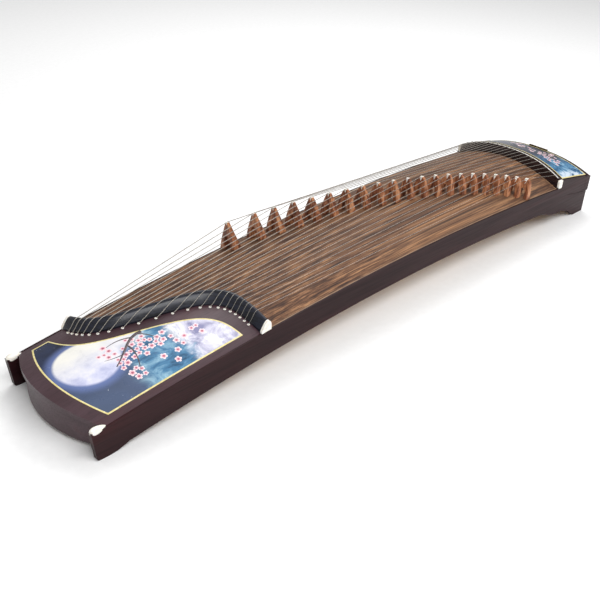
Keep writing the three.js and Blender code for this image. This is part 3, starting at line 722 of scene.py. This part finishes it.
DARK_WOOD = dark_wood("dark_lacquer", ((36, 15, 18), (45, 21, 24), (56, 18, 20)), (16, 7, 8), 0.13)
# A lighter, plum copy of the dark lacquer for the tail plate and the tail end board. Its lift over
# the dark lacquer is painted sheen; its plum tone is partly the wood's own.
PAINTED_SHEEN_WOOD = dark_wood("plum_lacquer_painted_sheen", ((56, 32, 38), (70, 48, 55), (72, 34, 38)), (40, 24, 28),
                      0.36)
NUT_WOOD = nut_wood("black_hardwood", (8, 10, 18), (22, 26, 42), 0.25)
HEAD_NUT_WOOD = nut_wood("brown_hardwood", (26, 16, 17), (52, 34, 32), 0.05)
PLAIN_WOOD = plain_wood()
BRIDGE_WOOD = bridge_wood()
STRING_METAL = string_metal()
PIN_METAL = metal("nickel_pin", (300, 300, 900), (150, 150, 156), (214, 214, 218), (0.2, 0.36))
BRASS = metal("blackened_brass", (200, 900, 200), (62, 52, 40), (104, 86, 60), (0.3, 0.46))
BONE = grained("white_bone", (70, 200, 200), {0.3: (236, 230, 216), 0.7: (252, 250, 244)},
               (0.22, 0.4), (0.08, 0.0002), Subsurface_Weight=0.1, Coat_Weight=0.3,
               Coat_Roughness=0.15, Subsurface_Radius=(0.002, 0.0015, 0.001))
INLAY = grained("pale_inlay", (160, 160, 160), {0.3: (214, 196, 118), 0.7: (242, 230, 170)},
                (0.3, 0.42), (0.1, 0.0002), Coat_Weight=0.4, Coat_Roughness=0.15)
TAN_LINE = grained("tan_line", (30, 400, 400), {0.3: (104, 78, 58), 0.7: (158, 128, 98)},
                   (0.4, 0.55), (0.2, 0.0002), Specular_IOR_Level=0.4)
FELT = grained("grey_felt", (900, 900, 900), {0.3: (70, 66, 68), 0.7: (112, 106, 106)},
               (0.85, 1.0), (0.9, 0.0004), {"detail": 6, "roughness": 0.8},
               Sheen_Weight=0.6, Specular_IOR_Level=0.1)
BLOSSOM_PAINT = blossom_paint()
BARK_PAINT = grained("bark_paint", None, {0.35: (46, 38, 44), 0.65: (92, 78, 84)}, (0.4, 0.6),
                     (0.3, 0.0001), {"scale": 300, "detail": 5}, Coat_Weight=0.3,
                     Coat_Roughness=0.2)
FLOOR_GREY = grained("pale_floor", None, {0.3: (0.93, 0.93, 0.93, 1), 0.7: (0.96, 0.96, 0.96, 1)},
                     (0.6, 0.7), noise={"scale": 60, "detail": 3}, Specular_IOR_Level=0.2)


# ---- body ----

def add_soundboard():
    def spot(s, t):
        across = 2 * t - 1
        x = mix(seam_x(across) + SEAM_GAP, SOUNDBOARD_END_X - GAP, s)
        return x, across * top_half(x)
    board = layer((110, 44, 1), spot, top_z, -SOUNDBOARD_THICKNESS, 0)
    piece("burnt_soundboard", [board], soundboard_wood(),
          bevel=0.4, stands_for=["soundboard"])


def side_run(start, end, height, steps=LONG_STEPS):
    places = [mix(start, end, i / steps) for i in range(steps + 1)]
    return [(x, height(x)) for x in places]


def side_outline():
    """Ear, long arch, the head's foot, and the raised part round the lid."""
    corner_x = EAR_END_X + EAR_CORNER
    points = [(EAR_END_X, edge_z(TAIL_X)), (corner_x, EAR_CORNER)]
    points += curve_points([points[-1], (corner_x, 0), (EAR_FOOT_X[0], 0)], 4)
    points.append((EAR_FOOT_X[1], 0))
    heel = (BOTTOM_ARCH_X[0], bottom_z(BOTTOM_ARCH_X[0]))
    points += curve_points([points[-1], (EAR_HEEL_X, 0), heel], 6)
    points += side_run(*BOTTOM_ARCH_X, bottom_z)[1:]
    for controls, steps in HEAD_FOOT_CURVES:
        points += curve_points([points[-1], *controls], steps)
    block_face, block_foot = HEAD_BLOCK_X[0] - GAP, HEAD_BLOCK_Z - GAP
    seat_start = HEAD_NUT_X[1] + GAP
    points += [(FOOT_X[0], 0), (FOOT_X[1], 0), (FOOT_X[1], block_foot), (block_face, block_foot)]
    points += side_run(block_face, seat_start, head_edge_z, 6)
    return points + side_run(seat_start, TAIL_X, edge_z)


def lid_seat(start, end):
    low = -LID_THICKNESS - LID_SEAT_GAP
    return layer((6, 36, 1), plan(start, end, half_width, LIP), lid_z, low, low + CUT_REACH)


def top_rebate(side, start, end, thickness):
    """The rebate that a top board rests in, inside the lip."""
    def spot(s, t):
        x = mix(start, end, s)
        return x, side * mix(inner_half(x) - GAP, half_width(x) - LIP, t)
    low = -thickness - GAP
    return layer((30, 2, 1), spot, top_z, low, low + CUT_REACH)


def side_groove(side):
    """The joint line of the head's foot."""
    def place(s, t, w):
        x = mix(*GROOVE_X, s)
        y = side * (half_width(x) - mix(GROOVE_DEPTH, -2, t))
        return x, y, mix(*GROOVE_Z, s) + w * GROOVE_WIDTH
    return lattice((4, 1, 1), place)


def add_side_board(name, side, node):
    rings = []
    for depth in (0, SIDE_THICKNESS):
        rings.append([(x, side * (half_width(x) - depth), z) for x, z in side_outline()])
    plate_end = tail_edge_x(inner_half(TAIL_X) / top_half(TAIL_X)) - PLATE_OVERHANG - GAP
    seam = seam_x(side)
    cutters = (lid_seat(HEAD_NUT_X[1], HEAD_BLOCK_X[0]), side_groove(side),
               top_rebate(side, plate_end, seam + 1, PLATE_THICKNESS),
               top_rebate(side, seam - 1, SOUNDBOARD_END_X, SOUNDBOARD_THICKNESS))
    mesh = build_mesh([loft(rings)])
    for cutter in cutters:
        mesh = carved(mesh, [cutter])
    piece(name, mesh, DARK_WOOD, bevel=1.0, stands_for=[node])


def side_line(side):
    start = s_line(side * top_half(S_MIDDLE[0]), TAIL_NUT_START + TAIL_NUT_WIDTH)

    def spot(s, t):
        x = mix(start, HEAD_NUT_X[0], s)
        return x, side * (top_half(x) + mix(*EDGE_LINE_OUT, t))
    return layer((60, 1, 1), spot, top_z, -1.5, EDGE_LINE_PROUD)


def add_edge_lines():
    """Thin lines beside the soundboard, and one across its head end."""
    across = layer((1, 44, 1), plan(*CROSS_LINE_X, top_half), top_z, -1, EDGE_LINE_PROUD)
    piece("edge_lines", [side_line(-1), side_line(1), across], TAN_LINE)


def panel_tail_x(y):
    return tail_edge_x(y / top_half(TAIL_X)) + PANEL_MARGIN_END


def panel_head_x(y):
    return PANEL_S_X - PANEL_S_REACH * tanh(y / PANEL_S_SOFTNESS)


def panel_plan(grow=0):
    """The tail picture's plan points: from the tail to the S side, near to far."""
    def spot(s, t):
        across = 2 * t - 1
        rough_y = across * (half_width(TAIL_X) - PANEL_INSET + grow)
        x = mix(panel_tail_x(rough_y) - grow, panel_head_x(rough_y) + grow, s)
        return x, across * (half_width(x) - PANEL_INSET + grow)
    return spot


def hole_top(line):
    return line["hole_x"], line["tail_y"], top_z(line["hole_x"], line["tail_y"])


def inlay_loop(spot, surface):
    """A strip round a patch, mitred at its corners."""
    shares = [i / LONG_STEPS for i in range(LONG_STEPS)]
    loop = [spot(share, 0) for share in shares]
    loop += [spot(1, share) for share in shares]
    loop += [spot(1 - share, 1) for share in shares]
    loop += [spot(0, 1 - share) for share in shares]
    rings = []
    for i, corner in enumerate(loop):
        here = Vector(corner)
        before = (here - Vector(loop[i - 1])).normalized()
        after = (Vector(loop[(i + 1) % len(loop)]) - here).normalized()
        inward = (before + after).normalized()
        inward = Vector((-inward.y, inward.x))
        slant = max(0.3, inward.dot(Vector((-before.y, before.x))))
        half = inward * INLAY_WIDTH / 2 / slant
        ring = []
        for edge, rise in INLAY_PROFILE:
            x, y = here + half * edge
            ring.append((x, y, surface(x, y) + rise))
        rings.append(ring)
    return loft(rings, closed=True)


def add_tail_plate():
    """The plate, its picture and its inlay."""
    def spot(s, t):
        across = 2 * t - 1
        x = mix(tail_edge_x(across) - PLATE_OVERHANG, seam_x(across) - SEAM_GAP, s)
        return x, across * top_half(x)
    hole = ((HOLE_RADIUS, -20), (HOLE_RADIUS, 10))
    cutters = [layer((24, 40, 1), panel_plan(GAP), top_z, -PANEL_THICKNESS - GAP, 6)]
    cutters += [turned(hole, hole_top(line), 12) for line in LINES]
    plate = layer((48, 44, 1), spot, top_z, -PLATE_THICKNESS, 0)
    piece("lacquered_tail_plate", carved(build_mesh([plate]), cutters), PAINTED_SHEEN_WOOD,
          bevel=1.2, stands_for=["tail_plate"])
    panel = layer((70, 70, 1), panel_plan(), top_z, -PANEL_THICKNESS, 0)
    piece("tail_picture", [panel], tail_picture(), stands_for=["tail_picture_panel"])
    piece("tail_picture_inlay", [inlay_loop(panel_plan(), top_z)], INLAY)


def add_tail_end_board():
    def place(s, t, w):
        x = tail_edge_x(2 * t - 1) + END_BOARD_SETBACK + s * END_BOARD_THICKNESS
        y = (2 * t - 1) * inner_half(x)
        return x, y, mix(END_BOARD_FOOT_Z, top_z(x, y) - PLATE_THICKNESS - GAP, w)
    piece("curved_tail_board", [lattice((1, 48, 6), place)], PAINTED_SHEEN_WOOD, bevel=1.2,
          stands_for=["tail_end_board"])


def full_width_y(half, t, steps):
    """Spreads t over the full width, with a step at each lip."""
    inner = half - LIP - GAP
    place = t * steps
    if place < 1:
        return mix(-half, -inner, place)
    if place > steps - 1:
        return mix(inner, half, place - steps + 1)
    return mix(-inner, inner, (place - 1) / (steps - 2))


def tail_nut_place(s, y, rise, grow=0):
    share = (1 - cos(pi * s)) / 2
    x = s_line(y, TAIL_NUT_START - grow + share * (TAIL_NUT_WIDTH + 2 * grow))
    return x, y, top_z(x, y) + GAP + rise * (tail_nut_height(share) + grow)


def add_tail_nut():
    near_half, far_half = (half_width(S_MIDDLE[0] + reach) for reach in (S_REACH, -S_REACH))

    def place(s, t, w):
        half = near_half if t < 0.5 else far_half
        return tail_nut_place(s, full_width_y(half, t, TAIL_NUT_STEPS), w)
    piece("black_tail_nut", [lattice((18, TAIL_NUT_STEPS, 1), place)], NUT_WOOD,
          stands_for=["tail_nut"])
    caps = []
    for side, half in ((-1, near_half), (1, far_half)):
        def cap_place(s, t, w, side=side, half=half):
            return tail_nut_place(s, side * (half + mix(*TAIL_CAP_OUT, t)), w, TAIL_CAP_GROW)
        caps.append(lattice((18, 1, 1), cap_place))
    piece("tail_nut_caps", caps, BONE, bevel=0.5)


def ear_cap(side):
    """A rounded cap, pointed towards the head."""
    middle_x, middle_z = EAR_END_X + EAR_CAP_INSET, edge_z(TAIL_X) - 1
    middle_y = side * (half_width(TAIL_X) - SIDE_THICKNESS / 2)
    rings = []
    for i in range(1, EAR_CAP_RINGS):
        turn = pi * i / EAR_CAP_RINGS
        lengthwise = -cos(turn)
        end = 0 if lengthwise < 0 else 1
        x = middle_x + lengthwise * EAR_CAP_LENGTH[end]
        wide, high = (reach * sin(turn) ** EAR_CAP_EASE[end] for reach in EAR_CAP_GIRTH)
        rings.append([(x, middle_y + wide * c, middle_z + high * s) for c, s in circle(20)])
    return loft(rings)


# ---- head ----

def add_head_nut():
    """The stepped nut, its bone strip and its two caps."""
    def place(s, t, w):
        x = mix(*HEAD_NUT_X, s)
        y = full_width_y(half_width(x), t, HEAD_STEPS)
        rise = min(1, max(0, (s - HEAD_NUT_STEP) / HEAD_NUT_STEP))
        top = mix(top_z(x, y) + HEAD_NUT_STEP_Z, head_nut_z(y), rise ** 0.6)
        return x, y, mix(top_z(x, y) + GAP, top, w)
    piece("black_head_nut", [lattice((10, HEAD_STEPS, 1), place)], HEAD_NUT_WOOD,
          stands_for=["head_nut"])
    strip = layer((1, HEAD_STEPS, 1), plan(*BONE_STRIP_X, inner_half),
                  lambda x, y: head_nut_z(y), -2, BONE_STRIP_RISE)
    piece("head_nut_strip", [strip], BONE, bevel=0.3)
    caps = []
    for side in (-1, 1):
        def cap_place(s, t, w, side=side):
            x = mix(HEAD_NUT_X[0] + 2, HEAD_NUT_X[1] + 0.2, s)
            y = side * (half_width(x) + mix(*HEAD_CAP_OUT, t))
            return x, y, mix(edge_z(x) - 0.5, head_nut_z(half_width(x)) + 0.8, w)
        caps.append(lattice((2, 2, 2), cap_place))
    piece("head_nut_caps", caps, BONE, bevel=2.2)


def add_head_block():
    def place(s, t, w):
        x = mix(*HEAD_BLOCK_X, s)
        y = full_width_y(half_width(x), t, HEAD_STEPS)
        return x, y, mix(HEAD_BLOCK_Z, lid_z(x, y), w)
    seat = lid_seat(HEAD_BLOCK_X[0] - 1, HINGE_X + (HINGE_X - LID_X[1]))
    mesh = carved(build_mesh([lattice((4, HEAD_STEPS, 2), place)]), [seat])
    piece("lacquered_head_block", mesh, DARK_WOOD, bevel=1.0,
          stands_for=["head_block"])


def add_head_lower_board():
    """Its bottom edge is a shallow arch between the feet."""
    spot = plan(*HEAD_LOWER_X, inner_half)

    def place(s, t, w):
        rise = HEAD_ARCH_RISE * min(1, 3 * (1 - abs(2 * t - 1)))
        return *spot(s, t), mix(HEAD_ARCH_FOOT_Z + rise, HEAD_BLOCK_Z - GAP, w)
    piece("arched_head_board", [lattice((1, HEAD_STEPS, 2), place)], DARK_WOOD,
          bevel=0.8, stands_for=["head_lower_board"])


def lid_plan(margin=LID_MARGIN):
    return plan(LID_X[0] + margin, LID_X[1] - margin, lid_half, margin)


def add_lid():
    """The lid, its picture, its inlay and the felt under its edge."""
    recess = layer((8, 48, 1), lid_plan(LID_MARGIN - GAP), lid_z, -PANEL_THICKNESS - GAP, 4)
    board = layer((12, 60, 1), lid_plan(0), lid_z, -LID_THICKNESS, 0)
    piece("lacquered_lid", carved(build_mesh([board]), [recess]), DARK_WOOD, "lid",
          bevel=0.9, stands_for=["lid"])
    panel = layer((24, 72, 1), lid_plan(), lid_z, -PANEL_THICKNESS, 0)
    piece("lid_picture", [panel], lid_picture(), "lid",
          stands_for=["lid_picture_panel"])
    piece("lid_picture_inlay", [inlay_loop(lid_plan(), lid_z)], INLAY, "lid")
    low, high = (rise - LID_THICKNESS for rise in FELT_RISE)
    strip = layer((2, 48, 1), plan(*FELT_X, lid_half, FELT_SHORT), lid_z, low, high)
    piece("lid_felt", [strip], FELT, "lid", bevel=0.3)


# ---- strings, bridges and pins ----

def string_lines():
    """Where the strings run, from the lowest on the far side."""
    lines = []
    for i in range(STRING_COUNT):
        tag = f"{i + 1:02d}"
        share = i / (STRING_COUNT - 1)
        tail_y = mix(TAIL_STRING_Y, -TAIL_STRING_Y, share)
        head_y = mix(HEAD_STRING_Y, -HEAD_STRING_Y, share)
        nut_x = s_line(tail_y, SEAM_OFFSET)
        setback = BASS_BRIDGE_SETBACK if i == 0 else 0
        bridge_x = BRIDGE_FIRST_X + BRIDGE_STEP * i - BRIDGE_STEP_LOSS * i * i - setback
        run = (bridge_x - nut_x) / (HEAD_NUT_X[0] - nut_x)
        lines.append({
            "tag": tag,
            "body": f"bridge_{tag}",
            "pin": f"tuning_pin_{tag}",
            "share": share,
            "tail_y": tail_y,
            "head_y": head_y,
            "hole_x": s_line(tail_y),
            "bridge_x": bridge_x,
            "bridge_y": mix(tail_y, head_y, run),
            "height": mix(*BRIDGE_HEIGHT[::-1], (1 - share) ** BRIDGE_HEIGHT_EASE),
            "half": mix(*BRIDGE_HALF_WIDTH, share),
            "thickness": mix(*BRIDGE_THICKNESS, share),
            "pin_x": PIN_ROWS_X[i % 2],
            "pin_y": head_y * PIN_Y_SHARE,
            "pin_top": PIN_TOP_Z[i % 2],
            "radius": mix(*STRING_RADIUS, share),
        })
    return lines


LINES = string_lines()


def bridge_outline(line):
    """Two feet, an arch between them, shoulders and a narrow tip."""
    share, half, height = line["share"], line["half"], line["height"]
    inner, apex = half * BRIDGE_ARCH[0], height * BRIDGE_ARCH[1]
    shoulder = (half * mix(*BRIDGE_SHOULDER_WIDTH, share),
                height * mix(*BRIDGE_SHOULDER_HEIGHT, share))
    hip = (half * mix(*BRIDGE_HIP_WIDTH, share), shoulder[1] / 2)
    neck = (shoulder[0] * mix(*BRIDGE_NECK_WIDTH, share), height * mix(*BRIDGE_NECK_HEIGHT, share))
    tip = (mix(*BRIDGE_TIP_HALF, share), height)
    right = [(inner, 0), (half, 0)]
    right += curve_points([right[-1], hip, shoulder], 8)
    right += curve_points([shoulder, neck, tip], 8)
    left = [(-across, up) for across, up in right[::-1]]
    under = curve_points([left[-1], (-inner, apex), (0, apex)], 8)
    under += curve_points([under[-1], (inner, apex), (inner, 0)], 8)[:-1]
    return right + left + under


def bridge_slab(line, outline, depths):
    """An outline made solid, which follows the board, thins upwards and leans."""
    middle_x, middle_y = line["bridge_x"], line["bridge_y"]
    apex = top_z(middle_x, middle_y)
    rings = []
    for depth in depths:
        ring = []
        for across, up in outline:
            rise = up / line["height"]
            lean = mix(*BRIDGE_BASE_OFFSET, line["share"]) * (1 - rise)
            x = middle_x + depth * line["thickness"] * mix(1, BRIDGE_TOP_SHARE, rise) + lean
            y = middle_y + across
            ring.append((x, y, mix(top_z(x, y), apex, min(1, rise)) + GAP + up))
        rings.append(ring)
    return loft(rings)


def add_bridge(line):
    """The bridge, and the grooved bone wedge in its tip."""
    wood = bridge_slab(line, bridge_outline(line), (-0.5, -0.25, 0.25, 0.5))
    piece(f"sandalwood_bridge_{line['tag']}", [wood], BRIDGE_WOOD,
          line["body"], bevel=0.7, stands_for=[line["body"]])
    top = line["height"] + 0.2
    half = mix(*BRIDGE_TIP_HALF, line["share"]) - 0.5
    point = top - mix(*BRIDGE_TIP_DEPTH, line["share"])
    waist = mix(top, point, 0.35)
    groove = line["radius"] * 0.9
    wedge = [(0, point), (half * 0.8, waist), (half, top), (groove, top),
             (0, top - groove), (-groove, top), (-half, top), (-half * 0.8, waist)]
    piece(f"bridge_tip_{line['tag']}", [bridge_slab(line, wedge, (-0.52, 0.52))], BONE,
          line["body"], bevel=0.2)


def string_tip(line):
    x, y = line["bridge_x"], line["bridge_y"]
    return x, y, top_z(x, y) + line["height"] + GAP + line["radius"] * 0.7


def tail_route(line):
    """Out of its hole, up and over the tail nut."""
    x, y, hole_z = hole_top(line)
    foot_x = s_line(y, TAIL_NUT_START) - line["radius"] - 0.6
    route = [
        (x, y, hole_z - PLATE_THICKNESS),
        (x, y, hole_z + 0.8),
        (mix(x, foot_x, 0.4), y, hole_z + 2.4),
        (foot_x, y, top_z(foot_x, y) + TAIL_NUT_FEET[0] + 1),
    ]
    for step in range(1, STRING_CLIMB_STEPS + 1):
        share = STRING_CLIMB * step / STRING_CLIMB_STEPS
        x = s_line(y, TAIL_NUT_START + TAIL_NUT_WIDTH * share)
        lift = tail_nut_height(share) + line["radius"] + STRING_LIFT
        route.append((x, y, top_z(x, y) + GAP + lift))
    return route


def head_route(line):
    """Over the head nut and down behind it to the side of its pin."""
    radius = line["radius"]
    y = line["head_y"]
    top = head_nut_z(y) + BONE_STRIP_RISE + radius
    behind = HEAD_NUT_X[1] + 1.6
    return [
        (BONE_STRIP_X[0], y, top),
        (BONE_STRIP_X[1], y, top),
        (HEAD_NUT_X[1] - 0.5, y, top - 0.1),
        (behind, y, top - 2),
        (behind + 0.2, y, top - LID_THICKNESS - 7),
        (line["pin_x"], line["pin_y"] + PIN_RADIUS + radius, PIN_STRING_Z),
    ]


def blended_string(name, line, path, start):
    made = piece(name, [tube(path, [line["radius"]] * len(path))], STRING_METAL,
                 None, stands_for=["strings"])
    row_point(*start)
    row_point(*string_tip(line))
    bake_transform(made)


def add_string(line):
    """Two lengths that meet on the bridge."""
    tip, tail, head = string_tip(line), tail_route(line), head_route(line)
    blended_string(f"string_{line['tag']}_tail", line, tail + [tip], tail[-1])
    blended_string(f"string_{line['tag']}_head", line, [tip] + head, head[0])


def add_bushings():
    shapes = [turned(BUSHING_PROFILE, hole_top(line), 20, closed=True) for line in LINES]
    piece("string_bushings", shapes, BONE)


def pin_ring(line, radius, z, square):
    """A ring of a pin, from round at 0 to square at 1."""
    ring = []
    for c, s in circle(16, 0.5):
        reach = radius * mix(1, 0.86 / max(abs(c), abs(s)), square)
        ring.append((line["pin_x"] + reach * c, line["pin_y"] + reach * s, z))
    return ring


def add_pin(line):
    """A pin, and the string's coil round it."""
    top = line["pin_top"]
    rows = ((0.8, PIN_BOTTOM_Z, 0), (1, PIN_BOTTOM_Z + 2, 0), (1, top - 10, 0),
            (0.94, top - 8, 1), (0.84, top - 1, 1), (0.6, top, 1))
    rings = [pin_ring(line, PIN_RADIUS * share, z, square) for share, z, square in rows]
    piece(f"square_pin_{line['tag']}", [loft(rings)], PIN_METAL, line["pin"],
          stands_for=[line["pin"]])
    radius, coil = line["radius"], []
    reach = PIN_RADIUS + radius
    for i in range(COIL_TURNS * COIL_STEPS + 1):
        angle = pi / 2 - 2 * pi * i / COIL_STEPS
        x = line["pin_x"] + reach * cos(angle)
        y = line["pin_y"] + reach * sin(angle)
        coil.append((x, y, PIN_STRING_Z - COIL_PITCH * radius * i / COIL_STEPS))
    piece(f"string_coil_{line['tag']}", [tube(coil, [radius] * len(coil), 6)], STRING_METAL,
          line["pin"])


# ---- painted blossoms in low relief ----

# Limbs have control points and a thickness, clusters a centre, a spread and a count.
TAIL_LIMBS = (
    (((-604, 0), (-634, 6), (-655, -26), (-694, -50)), 4.2),
    (((-628, -2), (-650, 14), (-678, 8)), 1.9),
    (((-646, -18), (-644, -50), (-666, -84)), 2.1),
    (((-614, 0), (-598, -16), (-592, -40)), 1.9),
    (((-662, -32), (-684, -30), (-702, -22)), 1.4),
)
TAIL_CLUSTERS = (
    (-634, -30, 30, 17), (-690, -8, 20, 6), (-676, -50, 16, 6), (-668, -84, 14, 5),
    (-590, -46, 20, 6), (-560, -66, 16, 3), (-600, -88, 20, 3), (-520, -66, 14, 3),
)
LID_LIMBS = (
    (((794, -60), (760, -78), (730, -74), (700, -92)), 2.4),
    (((752, -74), (736, -100), (722, -112)), 1.6),
    (((790, 60), (764, 40), (742, 30)), 2.0),
)
LID_CLUSTERS = (
    (728, -96, 26, 10), (764, -60, 20, 7), (730, -40, 22, 7), (744, 10, 20, 6), (770, 52, 14, 4),
)


def blossom(x, y, size, turn, surface):
    """A thin domed solid of five petals, and how far out its points lie."""
    levels = [(1.0, -0.5)] + [(step, 0.25 + 0.3 * step * (1 - step)) for step in PETAL_LEVELS]
    rings, shares = [], []
    for level, rise in levels:
        ring = []
        for j in range(PETAL_SIDES):
            angle = 2 * pi * j / PETAL_SIDES
            petal = 1 - level * PETAL_NOTCH * (1 - abs(cos(2.5 * angle)) ** 0.7)
            reach = size * level * petal
            px, py = x + reach * cos(angle + turn), y + reach * sin(angle + turn)
            ring.append((px, py, surface(px, py) + rise))
        rings.append(ring)
        shares += [level] * PETAL_SIDES
    return loft(rings), shares


def add_blossoms(name, spots, surface, body):
    shapes, shares = [], []
    for x, y, size, turn in spots:
        shape, outward = blossom(x, y, size, turn, surface)
        shapes.append(shape)
        shares += outward
    made = piece(name, shapes, BLOSSOM_PAINT, body)
    petal = made.data.attributes.new("petal", "FLOAT", "POINT")
    petal.data.foreach_set("value", shares)


def add_branch(name, limbs, surface, body):
    """Tapered twigs, half sunk in the picture."""
    shapes = []
    for corners, thick in limbs:
        path = [corners[0]] + curve_points(corners, BRANCH_STEPS)
        lifted = [(x, y, surface(x, y) + 0.1) for x, y in path]
        radii = [thick * (1 - BRANCH_TAPER * i / BRANCH_STEPS) for i in range(BRANCH_STEPS + 1)]
        shapes.append(tube(lifted, radii, flat=BRANCH_FLATNESS))
    piece(name, shapes, BARK_PAINT, body)


def in_tail_panel(x, y):
    inside_x = panel_tail_x(y) < x < panel_head_x(y)
    return inside_x and abs(y) < half_width(x) - PANEL_INSET


def in_lid_panel(x, y):
    inside_x = LID_X[0] + LID_MARGIN < x < LID_X[1] - LID_MARGIN
    return inside_x and abs(y) < lid_half(x) - LID_MARGIN


def scatter(rng, centres, size, inside):
    """Blossoms in loose clusters, apart from one another and on the panel."""
    spots = []
    for x, y, spread, count in centres:
        tries = placed = 0
        while placed < count and tries < SCATTER_TRIES:
            tries += 1
            angle, reach = rng.uniform(0, 2 * pi), spread * sqrt(rng.random())
            px, py = x + reach * cos(angle), y + reach * sin(angle)
            radius = size * rng.uniform(0.75, 1.15)
            room = radius + INLAY_WIDTH / 2
            corners = [(px + dx, py + dy) for dx in (-room, room) for dy in (-room, room)]
            clear = all(hypot(px - sx, py - sy) > (radius + other) * 0.86
                        for sx, sy, other, _ in spots)
            if clear and all(inside(*corner) for corner in corners):
                spots.append((px, py, radius, rng.uniform(0, 2 * pi)))
                placed += 1
    return spots


def add_painting(tag, limbs, clusters, rng, size, surface, body, inside):
    add_branch(f"painted_branch_{tag}", limbs, surface, body)
    add_blossoms(f"painted_blossoms_{tag}", scatter(rng, clusters, size, inside), surface, body)


# ---- the CAD's own shapes ----

def dress(node, material):
    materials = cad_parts[node].data.materials
    materials.clear()
    materials.append(material)


add_soundboard()
add_side_board("near_side_board", -1, "side_board_near")
add_side_board("far_side_board", 1, "side_board_far")
add_edge_lines()
add_tail_plate()
add_tail_end_board()
add_tail_nut()
piece("ear_caps", [ear_cap(-1), ear_cap(1)], BONE)
add_head_nut()
add_head_block()
add_head_lower_board()
add_lid()
for line in LINES:
    add_bridge(line)
    add_string(line)
    add_pin(line)
add_bushings()
add_painting("tail", TAIL_LIMBS, TAIL_CLUSTERS, random.Random(7), 7.2, top_z, "root", in_tail_panel)
add_painting("lid", LID_LIMBS, LID_CLUSTERS, random.Random(11), 6.2, lid_z, "lid", in_lid_panel)
for plain in ("bottom_board", "inner_braces", "tuning_box"):
    dress(plain, PLAIN_WOOD)
for leaf in ("hinge_fixed_leaf", "hinge_moving_leaf"):
    dress(leaf, BRASS)


# ---- studio ----

def add_floor():
    reach = FLOOR_HALF / MM
    corners = [(-reach, -reach, 0), (reach, -reach, 0), (reach, reach, 0), (-reach, reach, 0)]
    mesh = build_mesh([(corners, [[0, 1, 2, 3]])])
    mesh.materials.append(FLOOR_GREY)
    floor = add_object("floor", mesh)


def add_light(name, place, size, power):
    lamp = bpy.data.lights.new(name, "AREA")
    lamp.shape = "RECTANGLE"
    lamp.size, lamp.size_y = size
    lamp.energy = power
    light = add_object(name, lamp)
    light.location = place
    aim = Vector(LIGHT_TARGET) - Vector(place)
    light.rotation_euler = aim.to_track_quat("-Z", "Y").to_euler()


def add_world():
    """Soft light from all round, brightest overhead."""
    world = bpy.data.worlds.new("studio")
    world.use_nodes = True
    made = Nodes(world.node_tree)
    place = made.node("TexCoord").outputs["Generated"]
    rise = made.node("SeparateXYZ", place).outputs[2]
    strength = made.node("MapRange", rise, 0, 0.9, 0.38, 0.6).outputs[0]
    made.fill(made.tree.nodes["Background"], Color=(1, 1, 1, 1), Strength=strength)
    bpy.context.scene.world = world


def add_camera():
    """The photograph's viewpoint, seen from the tail and the player's side."""
    yaw, pitch, roll = map(radians, CAMERA_TURN)
    forward = Vector((cos(pitch) * cos(yaw), cos(pitch) * sin(yaw),
                      sin(pitch)))
    level = Vector((sin(yaw), -cos(yaw), 0))
    upright = level.cross(forward)
    right = level * cos(roll) + upright * sin(roll)
    up = upright * cos(roll) - level * sin(roll)
    lens = bpy.data.cameras.new("camera")
    lens.sensor_width = 36
    lens.lens = CAMERA_LENS
    lens.clip_end = 40
    camera = add_object("camera", lens)
    turn = Matrix((right, up, -forward)).transposed().to_4x4()
    camera.matrix_world = Matrix.Translation(CAMERA_PLACE) @ turn
    bpy.context.scene.camera = camera


add_floor()
add_world()
add_light("key_softbox", (-0.4, -2.3, 3.0), (3.4, 2.0), 100)
add_light("back_softbox", (1.5, 1.2, 2.6), (2.2, 1.4), 42)
add_camera()
bpy.context.scene.view_settings.view_transform = "Standard"
